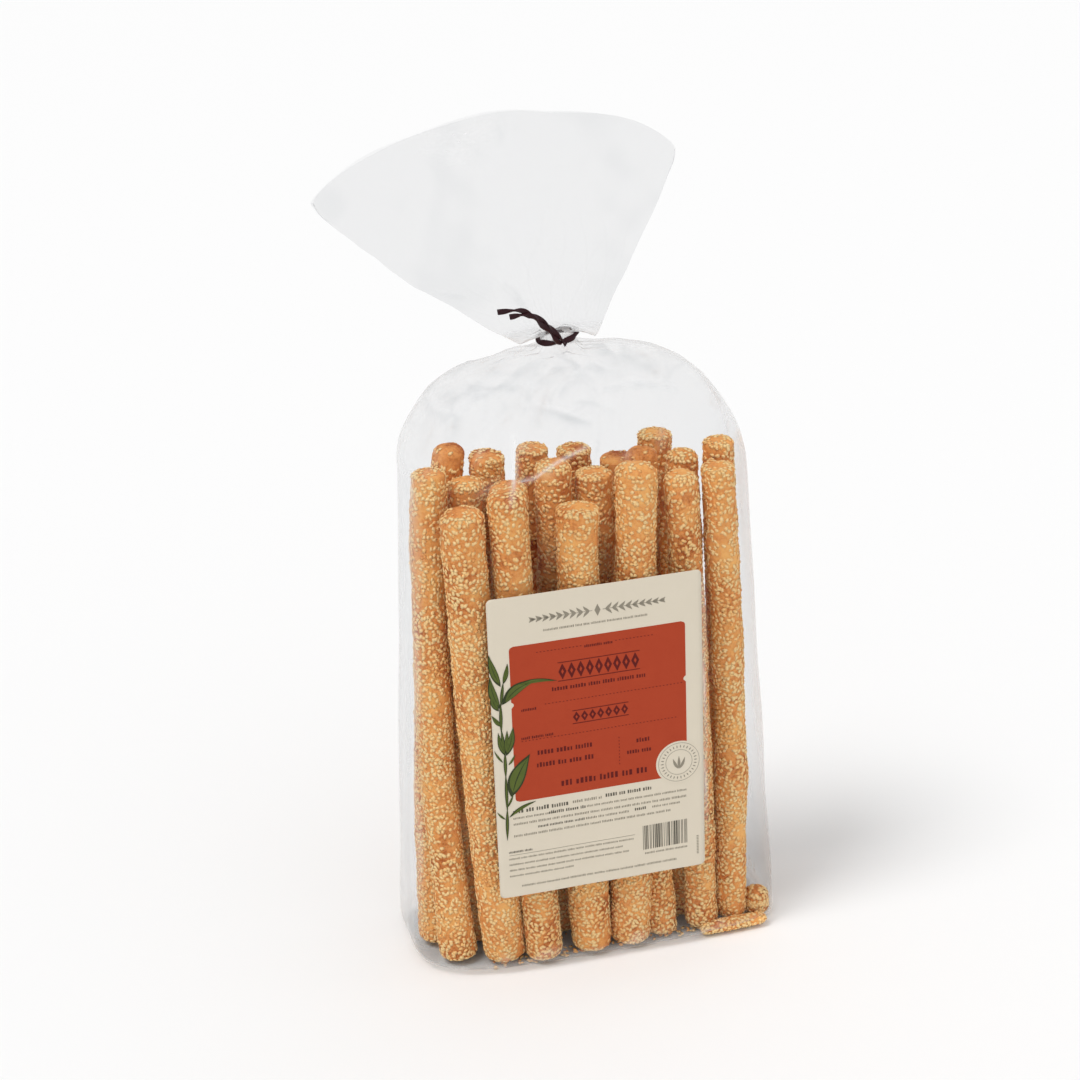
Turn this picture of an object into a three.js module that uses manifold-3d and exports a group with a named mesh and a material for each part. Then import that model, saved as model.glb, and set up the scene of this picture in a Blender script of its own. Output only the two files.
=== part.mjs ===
// A tied bag of sesame breadsticks, standing on its base.
// Millimetres, +Z up, +Y towards the back, the middle of the base at the origin.
//
// The clear film bag is one solid out to the film: a slab-shaped body round the breadsticks, a
// dome of slack film over their tops, a neck drawn together by a twist tie, and the gathered mouth
// of the bag, which spreads above the tie as a thin fan. A paper label lies on the front.

import * as THREE from "three";
import { mergeVertices } from "three/addons/utils/BufferGeometryUtils.js";
import Module from "manifold-3d";

const wasm = await Module();
wasm.setup();

// ---- the bag's driving sizes -------------------------------------------------------------

const BASE = { halfWidth: 72.6, halfDepth: 31, squareness: 7, centreX: 0.2 };
const SHOULDER = { halfWidth: 63, halfDepth: 29.5, squareness: 5.5, centreX: 0 };
const COLLAR = { halfWidth: 12, halfDepth: 8, squareness: 2.2, centreX: -3.8 };
const NECK = { halfWidth: 6.5, halfDepth: 4.6, squareness: 2, centreX: -3.8 };
const BASE_ROUNDING = 7; // radius of the edge round the base
const SHOULDER_HEIGHT = 200;
const COLLAR_HEIGHT = 245.6; // where the dome ends and the film is drawn in
const NECK_HEIGHT = 249.8; // middle of the tie
const NECK_STRAIGHT = 1.8; // the neck stays straight this far above and below the tie's middle
const SIDES = 48; // points round each cross-section

const FAN_LEFT = -57; // degrees from upright of the fan's two edges
const FAN_RIGHT = 37;
const FAN_START = { ...NECK, halfWidth: 13 };
const FAN_START_HEIGHT = 252.4;
const FAN_DROOP = 2.4; // the film sags this much beside the tie, at either end of the gather
const FAN_EDGE_SAG = 3.2; // how far the long left edge bows down between the tie and its corner
const FAN_HALF_OPENING = 3.2; // half the gap between the two films at the mouth
const FAN_WAVE = 2.2; // how far the film at the mouth waves to and fro
const FAN_WAVES = 2.5; // waves from one edge of the fan to the other

const GAP = 0.3; // clearance between touching pieces

const { mapLinear } = THREE.MathUtils;
const mix = THREE.MathUtils.lerp;
const radians = THREE.MathUtils.degToRad;

// ---- cross-sections ----------------------------------------------------------------------

// A point on a superellipse: an ellipse whose sides flatten as its squareness rises above 2.
function sectionPoint(section, angle) {
  const bend = (value) => Math.sign(value) * Math.abs(value) ** (2 / section.squareness);
  return [
    section.centreX + section.halfWidth * bend(Math.cos(angle)),
    section.halfDepth * bend(Math.sin(angle)),
  ];
}

function mixSections(from, to, share) {
  const mixed = {};
  for (const key of ["halfWidth", "halfDepth", "squareness", "centreX"]) {
    mixed[key] = mix(from[key], to[key], share);
  }
  return mixed;
}

// One closed ring of points at a height, anticlockwise seen from above.
function ring(section, height) {
  return Array.from({ length: SIDES }, (_, i) => {
    const [x, y] = sectionPoint(section, (2 * Math.PI * i) / SIDES);
    return new THREE.Vector3(x, y, height);
  });
}

// The body's section at a height between the base and the shoulder.
function wallSection(height) {
  return mixSections(BASE, SHOULDER, mapLinear(height, BASE_ROUNDING, SHOULDER_HEIGHT, 0, 1));
}

// Depth coordinate of the front film at a place on the body's front.
function frontOfBag(x, height) {
  const { halfWidth, halfDepth, squareness, centreX } = wallSection(height);
  const across = Math.abs((x - centreX) / halfWidth);
  return -halfDepth * (1 - across ** squareness) ** (1 / squareness);
}

// ---- the bag -----------------------------------------------------------------------------

// The edge round the base: a quarter circle from the flat base up to the wall.
function baseRings() {
  const steps = 3;
  return Array.from({ length: steps + 1 }, (_, i) => {
    const turn = ((Math.PI / 2) * i) / steps;
    const inset = BASE_ROUNDING * (1 - Math.sin(turn));
    const drawnIn = {
      ...BASE,
      halfWidth: BASE.halfWidth - inset,
      halfDepth: BASE.halfDepth - inset,
    };
    return ring(drawnIn, BASE_ROUNDING * (1 - Math.cos(turn)));
  });
}

function wallRings() {
  const steps = 6;
  return Array.from({ length: steps }, (_, i) => {
    const height = mix(BASE_ROUNDING, SHOULDER_HEIGHT, (i + 1) / steps);
    return ring(wallSection(height), height);
  });
}

// The dome rises as a quarter wave while its width and depth close in to the collar, the depth
// sooner than the width, so that the shoulders stay broad.
function domeRings() {
  const steps = 9;
  const widthFall = 0.85;
  const depthFall = 1.35;
  return Array.from({ length: steps }, (_, i) => {
    const share = (i + 1) / steps;
    const turn = (Math.PI / 2) * share;
    const section = mixSections(SHOULDER, COLLAR, share);
    section.halfWidth = mix(COLLAR.halfWidth, SHOULDER.halfWidth, Math.cos(turn) ** widthFall);
    section.halfDepth = mix(COLLAR.halfDepth, SHOULDER.halfDepth, Math.cos(turn) ** depthFall);
    return ring(section, mix(SHOULDER_HEIGHT, COLLAR_HEIGHT, Math.sin(turn)));
  });
}

function neckRings() {
  return [-NECK_STRAIGHT, NECK_STRAIGHT].map((offset) => ring(NECK, NECK_HEIGHT + offset));
}

// Length of the fan from the neck to the mouth along a ray at an angle from upright, in degrees:
// the film is cut square, so the ray to the far left corner is the longest.
function fanLength(angle) {
  const upright = 81;
  const leftCornerGain = 23;
  const rightCornerLoss = 4.5;
  return angle < 0
    ? upright + leftCornerGain * (angle / FAN_LEFT) ** 1.2
    : upright - rightCornerLoss * (angle / FAN_RIGHT) ** 3;
}

// The fan: rays from the ring above the tie to the mouth, front film and back film, straight but
// for the sag of the long left edge.
function fanRings() {
  const steps = 8;
  return Array.from({ length: steps + 1 }, (_, row) => {
    const out = row / steps;
    return Array.from({ length: SIDES }, (_, i) => {
      const turn = (2 * Math.PI * i) / SIDES;
      const [startX, startY] = sectionPoint(FAN_START, turn);
      const startZ = FAN_START_HEIGHT - FAN_DROOP * Math.cos(turn) ** 2;
      const across = (Math.cos(turn) + 1) / 2;
      const ray = mix(FAN_LEFT, FAN_RIGHT, across);
      const length = fanLength(ray);
      const mouthX = NECK.centreX + length * Math.sin(radians(ray));
      const mouthZ = NECK_HEIGHT + length * Math.cos(radians(ray));
      const wave = FAN_WAVE * Math.sin(2 * Math.PI * FAN_WAVES * across);
      const mouthY = FAN_HALF_OPENING * Math.sin(turn) + wave;
      const sag = FAN_EDGE_SAG * Math.sin(Math.PI * out) * (1 - across) ** 2;
      return new THREE.Vector3(
        mix(startX, mouthX, out),
        mix(startY, mouthY, out),
        mix(startZ, mouthZ, out) - sag,
      );
    });
  });
}

// Closes a stack of equal rings into one solid: a flat base fanned from its middle, bands between
// the rings, and a strip that joins front to back across the last ring.
function solidFromRings(rings) {
  const sides = rings[0].length;
  const points = rings.flat();
  const triangles = [];
  const at = (row, i) => row * sides + (i % sides);
  const baseMiddle = points.length;
  points.push(new THREE.Vector3(BASE.centreX, 0, rings[0][0].z));
  for (let i = 0; i < sides; i++) {
    triangles.push(baseMiddle, at(0, i + 1), at(0, i));
    for (let row = 0; row + 1 < rings.length; row++) {
      triangles.push(at(row, i), at(row, i + 1), at(row + 1, i + 1));
      triangles.push(at(row, i), at(row + 1, i + 1), at(row + 1, i));
    }
  }
  const last = rings.length - 1;
  for (let i = 0; i < sides / 2; i++) {
    const back = [at(last, i), at(last, i + 1)];
    const front = [at(last, sides - i), at(last, sides - i - 1)];
    if (i > 0) triangles.push(front[0], back[0], front[1]);
    if (i + 1 < sides / 2) triangles.push(back[0], back[1], front[1]);
  }
  return meshGeometry(points, triangles);
}

function meshGeometry(points, triangles) {
  const geometry = new THREE.BufferGeometry().setFromPoints(points);
  geometry.setIndex(triangles);
  geometry.computeVertexNormals();
  return geometry;
}

// ---- the label ---------------------------------------------------------------------------

const LABEL = {
  width: 82.5,
  height: 126,
  thickness: 0.4,
  cornerRadius: 2,
  left: -42.2,
  bottom: 36,
};

// Heights of the label's rows, closer together in the rounded corners.
function labelRowHeights() {
  const cornerSteps = 3;
  const middleSteps = 8;
  const { height, cornerRadius } = LABEL;
  const corner = Array.from(
    { length: cornerSteps },
    (_, i) => cornerRadius * (1 - Math.cos((Math.PI / 2) * (i / cornerSteps))),
  );
  const middle = Array.from({ length: middleSteps + 1 }, (_, i) =>
    mix(cornerRadius, height - cornerRadius, i / middleSteps),
  );
  return [...corner, ...middle, ...corner.map((rise) => height - rise).reverse()];
}

// The label follows the film's curve on both of its faces.
function labelGeometry() {
  const columns = 10;
  const { width, height, thickness, cornerRadius, left, bottom } = LABEL;
  const rows = labelRowHeights();
  const face = (standOff) =>
    rows.flatMap((rise) => {
      const intoCorner = Math.max(0, cornerRadius - Math.min(rise, height - rise));
      const inset = cornerRadius - Math.sqrt(cornerRadius ** 2 - intoCorner ** 2);
      return Array.from({ length: columns + 1 }, (_, i) => {
        const x = left + mix(inset, width - inset, i / columns);
        return new THREE.Vector3(x, frontOfBag(x, bottom + rise) - standOff, bottom + rise);
      });
    });
  const points = [...face(GAP + thickness), ...face(GAP)];
  const backStart = points.length / 2;
  const at = (row, column) => row * (columns + 1) + column;
  const triangles = [];
  const lastRow = rows.length - 1;
  for (let row = 0; row < lastRow; row++) {
    for (let column = 0; column < columns; column++) {
      const corners = [at(row, column), at(row, column + 1), at(row + 1, column + 1), at(row + 1, column)];
      const [a, b, c, d] = corners;
      triangles.push(a, b, c, a, c, d);
      const [e, f, g, h] = corners.map((corner) => corner + backStart);
      triangles.push(e, g, f, e, h, g);
    }
  }
  const border = [];
  for (let column = 0; column < columns; column++) border.push(at(0, column));
  for (let row = 0; row < lastRow; row++) border.push(at(row, columns));
  for (let column = columns; column > 0; column--) border.push(at(lastRow, column));
  for (let row = lastRow; row > 0; row--) border.push(at(row, 0));
  border.forEach((from, i) => {
    const to = border[(i + 1) % border.length];
    triangles.push(from, from + backStart, to, to, from + backStart, to + backStart);
  });
  return meshGeometry(points, triangles);
}

// ---- the twist tie -----------------------------------------------------------------------

const TIE = {
  loopHeight: 2.2,
  loopThickness: 1.1,
  stemHalfWidth: 1.5,
  stemHalfThickness: 1.1,
  endHalfWidth: 1.3,
  endHalfThickness: 0.7,
};

function ellipsePath(halfWidth, halfDepth) {
  return new THREE.EllipseCurve(0, 0, halfWidth, halfDepth).getPoints(SIDES).slice(0, -1);
}

// The loop: an oval band round the neck.
function tieLoop() {
  const innerWidth = NECK.halfWidth + GAP;
  const innerDepth = NECK.halfDepth + GAP;
  const outline = new THREE.Shape(
    ellipsePath(innerWidth + TIE.loopThickness, innerDepth + TIE.loopThickness),
  );
  outline.holes.push(new THREE.Path(ellipsePath(innerWidth, innerDepth)));
  const band = new THREE.ExtrudeGeometry(outline, { depth: TIE.loopHeight, bevelEnabled: false });
  return band.translate(NECK.centreX, 0, NECK_HEIGHT - TIE.loopHeight / 2);
}

// A strand of ribbon along a curve, with an oval section.
function tieStrand(points, halfWidth, halfThickness) {
  const corners = 10;
  const section = new THREE.Shape(
    new THREE.EllipseCurve(0, 0, halfWidth, halfThickness).getPoints(corners).slice(0, -1),
  );
  return new THREE.ExtrudeGeometry(section, {
    steps: 12,
    bevelEnabled: false,
    extrudePath: new THREE.CatmullRomCurve3(points),
  });
}

// The knot is the start of a stem, the two ends twisted together, that leans out to the left and
// forks where the twisting stops.
function tieStrands() {
  const { endHalfWidth, endHalfThickness, stemHalfWidth, stemHalfThickness } = TIE;
  const inFrontOfNeck = -(NECK.halfDepth + GAP + stemHalfWidth + 0.1);
  const knot = new THREE.Vector3(NECK.centreX, inFrontOfNeck, NECK_HEIGHT);
  const bend = new THREE.Vector3(-10.8, -9.5, 257.5);
  const fork = new THREE.Vector3(-16.5, -12, 262);
  const insideStem = fork.clone().lerp(bend, 0.25);
  const upperEnd = [insideStem, new THREE.Vector3(-21, -12.5, 264.9), new THREE.Vector3(-28, -12.5, 265.3)];
  const lowerEnd = [insideStem, new THREE.Vector3(-19.5, -13, 261.8), new THREE.Vector3(-24.5, -13, 261.6)];
  return [
    tieStrand([knot, bend, fork], stemHalfWidth, stemHalfThickness),
    tieStrand(upperEnd, endHalfWidth, endHalfThickness),
    tieStrand(lowerEnd, endHalfWidth, endHalfThickness),
  ];
}

function toManifold(geometry) {
  const bare = new THREE.BufferGeometry();
  bare.setAttribute("position", geometry.getAttribute("position"));
  bare.setIndex(geometry.index);
  const merged = mergeVertices(bare, 1e-4);
  return new wasm.Manifold(
    new wasm.Mesh({
      numProp: 3,
      vertProperties: merged.attributes.position.array,
      triVerts: new Uint32Array(merged.index.array),
    }),
  );
}

function fromManifold(solid) {
  const { vertProperties, triVerts } = solid.getMesh();
  const geometry = new THREE.BufferGeometry();
  geometry.setAttribute("position", new THREE.BufferAttribute(vertProperties, 3));
  geometry.setIndex(new THREE.BufferAttribute(triVerts, 1));
  geometry.computeVertexNormals();
  return geometry;
}

function tieGeometry() {
  const joined = tieStrands().reduce(
    (whole, strand) => whole.add(toManifold(strand)),
    toManifold(tieLoop()),
  );
  return fromManifold(joined);
}

// ---- the scene graph ---------------------------------------------------------------------

const film = new THREE.MeshStandardMaterial({
  color: 0xe6e7e6,
  roughness: 0.1,
  metalness: 0,
  transparent: true,
  opacity: 0.35,
});
const paper = new THREE.MeshStandardMaterial({ color: 0xe2dac4, roughness: 0.6, metalness: 0 });
const ribbon = new THREE.MeshStandardMaterial({ color: 0x2c080d, roughness: 0.45, metalness: 0 });

function named(name, geometry, material) {
  const mesh = new THREE.Mesh(geometry, material);
  mesh.name = name;
  return mesh;
}

const bagRings = [
  ...baseRings(),
  ...wallRings(),
  ...domeRings(),
  ...neckRings(),
  ...fanRings(),
];

const group = new THREE.Group();
group.add(named("bag", solidFromRings(bagRings), film));
group.add(named("label", labelGeometry(), paper));
group.add(named("twist_tie", tieGeometry(), ribbon));

export default group;
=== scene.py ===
# %% [markdown]
# # A tied bag of sesame breadsticks
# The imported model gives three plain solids: the bag out to its film, the label and the twist tie.
# This lesson dresses them: a thin clear film with creases, the breadsticks with their crust and
# seeds, a paper label with simple print, and a twisted ribbon. Every shape is worked out as whole
# numpy arrays in millimetres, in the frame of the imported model, and turned into metres at the end.

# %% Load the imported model
import bpy
import numpy as np
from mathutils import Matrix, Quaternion, Vector


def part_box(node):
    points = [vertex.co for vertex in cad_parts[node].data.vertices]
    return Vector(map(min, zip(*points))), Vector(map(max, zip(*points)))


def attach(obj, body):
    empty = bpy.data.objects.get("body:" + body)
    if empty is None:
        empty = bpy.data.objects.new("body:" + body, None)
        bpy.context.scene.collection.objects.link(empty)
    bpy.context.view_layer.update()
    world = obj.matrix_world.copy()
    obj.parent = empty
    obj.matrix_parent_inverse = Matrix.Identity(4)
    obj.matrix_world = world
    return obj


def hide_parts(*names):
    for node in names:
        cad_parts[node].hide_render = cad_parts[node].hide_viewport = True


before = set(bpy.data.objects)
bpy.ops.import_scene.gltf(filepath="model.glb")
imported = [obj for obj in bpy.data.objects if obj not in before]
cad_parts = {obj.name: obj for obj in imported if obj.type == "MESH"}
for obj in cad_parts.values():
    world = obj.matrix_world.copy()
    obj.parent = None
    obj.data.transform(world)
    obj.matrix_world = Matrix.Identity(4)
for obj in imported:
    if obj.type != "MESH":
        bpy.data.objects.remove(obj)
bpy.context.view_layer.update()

MM = 0.001
bag_low, bag_high = (np.array(corner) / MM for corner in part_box("bag"))
label_low, label_high = (np.array(corner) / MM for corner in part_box("label"))
print("bag", bag_low.round(1), bag_high.round(1))
print("label", label_low.round(1), label_high.round(1))
print("packed nodes:", len(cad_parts))

# %% [markdown]
# ## The camera
# The bag is seen from the front, a little from its left and from well above. The camera is placed
# on a sphere round the point it looks at: azimuth, elevation and distance say where on the sphere,
# and a small roll tips the picture. A long lens keeps the tall bag from narrowing downwards.

# %% Camera
AZIMUTH = np.radians(14.46)
ELEVATION = np.radians(23.96)
ROLL = np.radians(-2.16)
DISTANCE = 952.1
AIM_OFFSET = (-4.1, 0, 3.0)
LENS = 84.54


def direction_to(azimuth, elevation):
    """The direction (-sin a cos e, -cos a cos e, sin e), in which azimuth 0 is straight in front."""
    level = np.cos(elevation)
    return np.array((-np.sin(azimuth) * level, -np.cos(azimuth) * level, np.sin(elevation)))


def look_back(thing, direction, roll=0):
    """Turns a camera or a lamp, which look along their own -Z, to look against a direction."""
    thing.rotation_mode = "QUATERNION"
    unrolled = Vector(-direction).to_track_quat("-Z", "Y")
    thing.rotation_quaternion = unrolled @ Quaternion((0, 0, 1), roll)


aim = (bag_low + bag_high) / 2 * (1, 0, 1) + AIM_OFFSET
camera = bpy.data.objects.new("camera", bpy.data.cameras.new("camera"))
bpy.context.scene.collection.objects.link(camera)
camera.data.lens = LENS
camera.data.clip_start = 0.01
camera.data.clip_end = 100
camera.location = (aim + direction_to(AZIMUTH, ELEVATION) * DISTANCE) * MM
look_back(camera, direction_to(AZIMUTH, ELEVATION), ROLL)
bpy.context.scene.camera = camera
print("camera at", (np.array(camera.location) / MM).round(1))

# %% [markdown]
# ## Small helpers for nodes
# The room and every finish are small webs of nodes. Setting them up one property and one link at a
# time takes many lines, so one function makes a node with its settings, another one links whole
# lists of sockets, and a third one starts a group, which several materials can share.


# %% Node helpers
def add_node(tree, kind, place=(0, 0), values=None, **settings):
    """A node of a kind. Settings that are its own properties are set, and the others are inputs
    with those names, an underscore for a space. Values are inputs by number."""
    node = tree.nodes.new("ShaderNode" + kind)
    node.location = place
    for key, value in settings.items():
        if hasattr(node, key):
            setattr(node, key, value)
        else:
            node.inputs[key.replace("_", " ")].default_value = value
    for number, value in (values or {}).items():
        node.inputs[number].default_value = value
    return node


def connect(tree, *links):
    """Links sockets: each link is a node and its output, then a node and its input."""
    for start, output, end, entry in links:
        tree.links.new(start.outputs[output], end.inputs[entry])


def start_group(name, inputs, outputs):
    """An empty node group with named sockets, each with its kind, and its two end nodes."""
    tree = bpy.data.node_groups.new(name, "ShaderNodeTree")
    for direction, sockets in (("INPUT", inputs), ("OUTPUT", outputs)):
        for socket, kind in sockets.items():
            tree.interface.new_socket(socket, in_out=direction, socket_type="NodeSocket" + kind)
    entry, leave = tree.nodes.new("NodeGroupInput"), tree.nodes.new("NodeGroupOutput")
    entry.location, leave.location = (-900, 0), (800, 0)
    return tree, entry, leave


print("helpers: a node, its links and an empty group of nodes")

# %% [markdown]
# ## Light
# A product on white paper is lit by a bright room and one very large soft lamp. Here the room is a
# white world, a little brighter on the right and in front: its strength is a base value times one
# plus the direction's dot product with a lean. The camera itself sees an even backdrop instead.

# %% The room
ROOM_LIGHT = 0.70
ROOM_LEAN = (0.3, -0.24, 0.0)  # the room is brighter towards this side
BACKDROP_LIGHT = 0.96

scene = bpy.context.scene
scene.view_settings.view_transform = "Standard"
world = bpy.data.worlds.new("room")
scene.world = world
world.use_nodes = True
room = world.node_tree
background = room.nodes["Background"]
background.inputs["Color"].default_value = (1, 1, 1, 1)
look = add_node(room, "TexCoord", (-900, 0))
lean = add_node(room, "VectorMath", (-700, 0), {1: ROOM_LEAN}, operation="DOT_PRODUCT")
brightness = add_node(
    room, "Math", (-500, 0), {1: ROOM_LIGHT, 2: ROOM_LIGHT}, operation="MULTIPLY_ADD"
)
path = add_node(room, "LightPath", (-500, 400))
seen = add_node(room, "Mix", (-250, 0), B=BACKDROP_LIGHT)
connect(
    room,
    (look, "Generated", lean, 0),
    (lean, "Value", brightness, 0),
    (brightness, "Value", seen, "A"),
    (path, "Is Camera Ray", seen, "Factor"),
    (seen, "Result", background, "Strength"),
)
print("room light", ROOM_LIGHT, "leaning to", ROOM_LEAN)

# %% [markdown]
# The lamp is a sun with a wide angle, from the left and high above, so that the shadow falls to the
# right with a soft edge.

# %% The sun
SUN_STRENGTH = 1.45
SUN_WIDTH = np.radians(22)
SUN_AZIMUTH = np.radians(69)
SUN_ELEVATION = np.radians(60)

sun = bpy.data.objects.new("soft_sun", bpy.data.lights.new("soft_sun", "SUN"))
scene.collection.objects.link(sun)
sun.data.energy = SUN_STRENGTH
sun.data.angle = SUN_WIDTH
look_back(sun, direction_to(SUN_AZIMUTH, SUN_ELEVATION))
print("sun from", direction_to(SUN_AZIMUTH, SUN_ELEVATION).round(2))

# %% [markdown]
# ## Putting arrays into meshes
# Every piece is made the same way: points as an array, faces as one or more arrays of corner
# numbers. Both go into the mesh in one step each, which is far quicker than one vertex at a time.
# The floor, a large square, is the first piece made like that.

# %% Points and faces into a mesh
FLOOR_HALF = 12  # metres


def make_piece(name, points, *face_sets, slot=None, material=None, flat=False, **values):
    """A mesh object from points in millimetres and arrays of faces. Each entry of values becomes
    a number stored on every point, which a material can read by that name."""
    mesh = bpy.data.meshes.new(name)
    mesh.vertices.add(len(points))
    mesh.vertices.foreach_set("co", (points * MM).astype(np.float32).ravel())
    sizes = np.concatenate([np.full(len(faces), faces.shape[1]) for faces in face_sets])
    corners = np.concatenate([faces.ravel() for faces in face_sets])
    mesh.loops.add(len(corners))
    mesh.loops.foreach_set("vertex_index", corners.astype(np.int32))
    mesh.polygons.add(len(sizes))
    starts = np.cumsum(sizes) - sizes
    mesh.polygons.foreach_set("loop_start", starts.astype(np.int32))
    mesh.polygons.foreach_set("use_smooth", np.full(len(sizes), not flat))
    mesh.update(calc_edges=True)
    for key, numbers in values.items():
        attribute = mesh.attributes.new(key, "FLOAT", "POINT")
        attribute.data.foreach_set("value", numbers.astype(np.float32).ravel())
    piece = bpy.data.objects.new(name, mesh)
    bpy.context.scene.collection.objects.link(piece)
    if slot:
        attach(piece, "root")
    if material:
        mesh.materials.append(material)
    return piece


floor_corners = np.array([(-1, -1), (1, -1), (1, 1), (-1, 1)]) * FLOOR_HALF / MM
floor_points = np.column_stack([floor_corners, np.zeros(4)])
floor = make_piece("floor", floor_points, np.array([[0, 1, 2, 3]]))
print("floor", 2 * FLOOR_HALF, "m wide")

# %% [markdown]
# Most surfaces here are grids. A grid that closes on itself sideways is a tube, and a single point
# at either end of it closes the tube without a hole.


# %% Faces of grids and tubes
def grid_faces(rows, columns, wrap=True):
    """Corner numbers of the quads between neighbouring rows and columns of a grid. With wrap,
    the last column meets the first."""
    steps = columns if wrap else columns - 1
    row, column = np.meshgrid(np.arange(rows - 1), np.arange(steps), indexing="ij")
    here = (row * columns + column).ravel()
    beside = (row * columns + (column + 1) % columns).ravel()
    return np.stack([here, beside, beside + columns, here + columns], axis=1)


def pole_faces(pole, ring, turned=False):
    """Triangles between one point and a closed ring of points."""
    after = np.roll(ring, -1)
    order = (ring, after) if turned else (after, ring)
    return np.stack([np.full(len(ring), pole), *order], axis=1)


def closed_tube(grid, start, end):
    """Points and faces of a tube: a grid of rings, closed by a point before the first ring and
    one after the last."""
    rows, columns = grid.shape[:2]
    points = np.concatenate([grid.reshape(-1, 3), [start], [end]])
    count = rows * columns
    first = np.arange(columns)
    last = first + count - columns
    caps = [pole_faces(count, first), pole_faces(count + 1, last, turned=True)]
    return points, grid_faces(rows, columns), np.concatenate(caps)


print("a tube of 3 rings of 8 points has", len(grid_faces(3, 8)), "quads between them")

# %% [markdown]
# Nothing baked or crumpled is even. Sine waves of one length, summed in random directions, give a
# smooth unevenness that is the same on every run, and their wavelength sets the size of the lumps.


# %% Directions and unevenness
def unit(vectors):
    """Each vector divided by its own length."""
    return vectors / np.linalg.norm(vectors, axis=-1, keepdims=True)


def grid_normals(grid):
    """Outward direction at each point of a wrapped grid: the cross product of the steps to the
    neighbouring columns and rows."""
    sideways = np.roll(grid, -1, axis=1) - np.roll(grid, 1, axis=1)
    upwards = np.gradient(grid, axis=0)
    return unit(np.cross(sideways, upwards) + 1e-12)


def waves(points, wavelength, seed, count=16):
    """Smooth unevenness from about -1 to 1: the sum of sine waves of one wavelength that run in
    random directions with random phases."""
    draw = np.random.default_rng(seed)
    directions = unit(draw.normal(size=(count, 3))) * 2 * np.pi / wavelength
    phases = draw.uniform(0, 2 * np.pi, count)
    return np.sin(points @ directions.T + phases).sum(axis=-1) / np.sqrt(count)


def smooth_step(value, low, high):
    """0 below low, 1 above high, and an even S-curve between."""
    share = np.clip((value - low) / (high - low), 0, 1)
    return share * share * (3 - 2 * share)


sample = waves(np.random.default_rng(1).uniform(0, 100, (1000, 3)), 30, 2)
print("waves of length 30 run from", sample.min().round(2), "to", sample.max().round(2))

# %% [markdown]
# ## A baked surface
# Baked dough is never one colour: it is darker where it touched the oven's heat and paler in the
# hollows. One node group makes that mix for every baked thing, from wide patches, fine grain and a
# tone that each point of the mesh carries. The crust and the seeds use it with colours of their
# own, and the crumbs with the crust's.

# %% The baked surface as a node group
PATCH_CONTRAST = 2.2  # the noise of the patches is spread about its middle, 0.5, by this factor
GRAIN_CONTRAST = 1.3  # and the noise of the grain by this one
colours = {"Pale": "Color", "Golden": "Color", "Brown": "Color"}
scales = {"Patch Scale": "Float", "Grain Scale": "Float"}
finish_outputs = {"Colour": "Color", "Height": "Float", "Roughness": "Float"}
baked, entry, leave = start_group(
    "baked_surface", {"Position": "Vector", **scales, **colours, "Tone": "Float"}, finish_outputs
)
patches = add_node(baked, "TexNoise", (-600, 200), Detail=3, Roughness=0.6)
grain = add_node(baked, "TexNoise", (-600, -100), Detail=5, Roughness=0.65)
spread = {1: PATCH_CONTRAST, 2: -PATCH_CONTRAST / 2}
patch_share = add_node(baked, "Math", (-400, 200), spread, operation="MULTIPLY_ADD")
spread = {1: GRAIN_CONTRAST, 2: -GRAIN_CONTRAST / 2}
grain_share = add_node(baked, "Math", (-400, -100), spread, operation="MULTIPLY_ADD")
both = add_node(baked, "Math", (-200, 100), operation="ADD")
toned = add_node(baked, "Math", (-50, 100), operation="ADD", use_clamp=True)
pale_part = add_node(baked, "MapRange", (100, 250), From_Min=0, From_Max=0.5)
brown_part = add_node(baked, "MapRange", (100, 0), From_Min=0.5, From_Max=1)
to_golden = add_node(baked, "Mix", (300, 250), data_type="RGBA")
to_brown = add_node(baked, "Mix", (500, 150), data_type="RGBA")
rough = add_node(baked, "MapRange", (300, -250), To_Min=0.5, To_Max=0.78)
connect(
    baked,
    (entry, "Position", patches, "Vector"),
    (entry, "Position", grain, "Vector"),
    (entry, "Patch Scale", patches, "Scale"),
    (entry, "Grain Scale", grain, "Scale"),
    (patches, "Fac", patch_share, 0),
    (grain, "Fac", grain_share, 0),
    (patch_share, "Value", both, 0),
    (grain_share, "Value", both, 1),
    (both, "Value", toned, 0),
    (entry, "Tone", toned, 1),
    (toned, "Value", pale_part, "Value"),
    (toned, "Value", brown_part, "Value"),
    (pale_part, "Result", to_golden, "Factor"),
    (entry, "Pale", to_golden, "A"),
    (entry, "Golden", to_golden, "B"),
    (brown_part, "Result", to_brown, "Factor"),
    (to_golden, "Result", to_brown, "A"),
    (entry, "Brown", to_brown, "B"),
    (to_brown, "Result", leave, "Colour"),
    (grain, "Fac", leave, "Height"),
    (grain, "Fac", rough, "Value"),
    (rough, "Result", leave, "Roughness"),
)
print("baked surface:", len(baked.nodes), "nodes")

# %% [markdown]
# The shader itself stays in each material. It takes its colour and roughness from the group, and
# its fine relief from the group's height. What is the same all over, such as how strongly it
# mirrors, is set on the shader.


# %% A material from a node group
def new_material(name):
    """An empty node material, its nodes and its output node."""
    material = bpy.data.materials.new(name)
    material.use_nodes = True
    material.node_tree.nodes.clear()
    output = add_node(material.node_tree, "OutputMaterial", (900, 0))
    return material, material.node_tree, output


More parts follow.
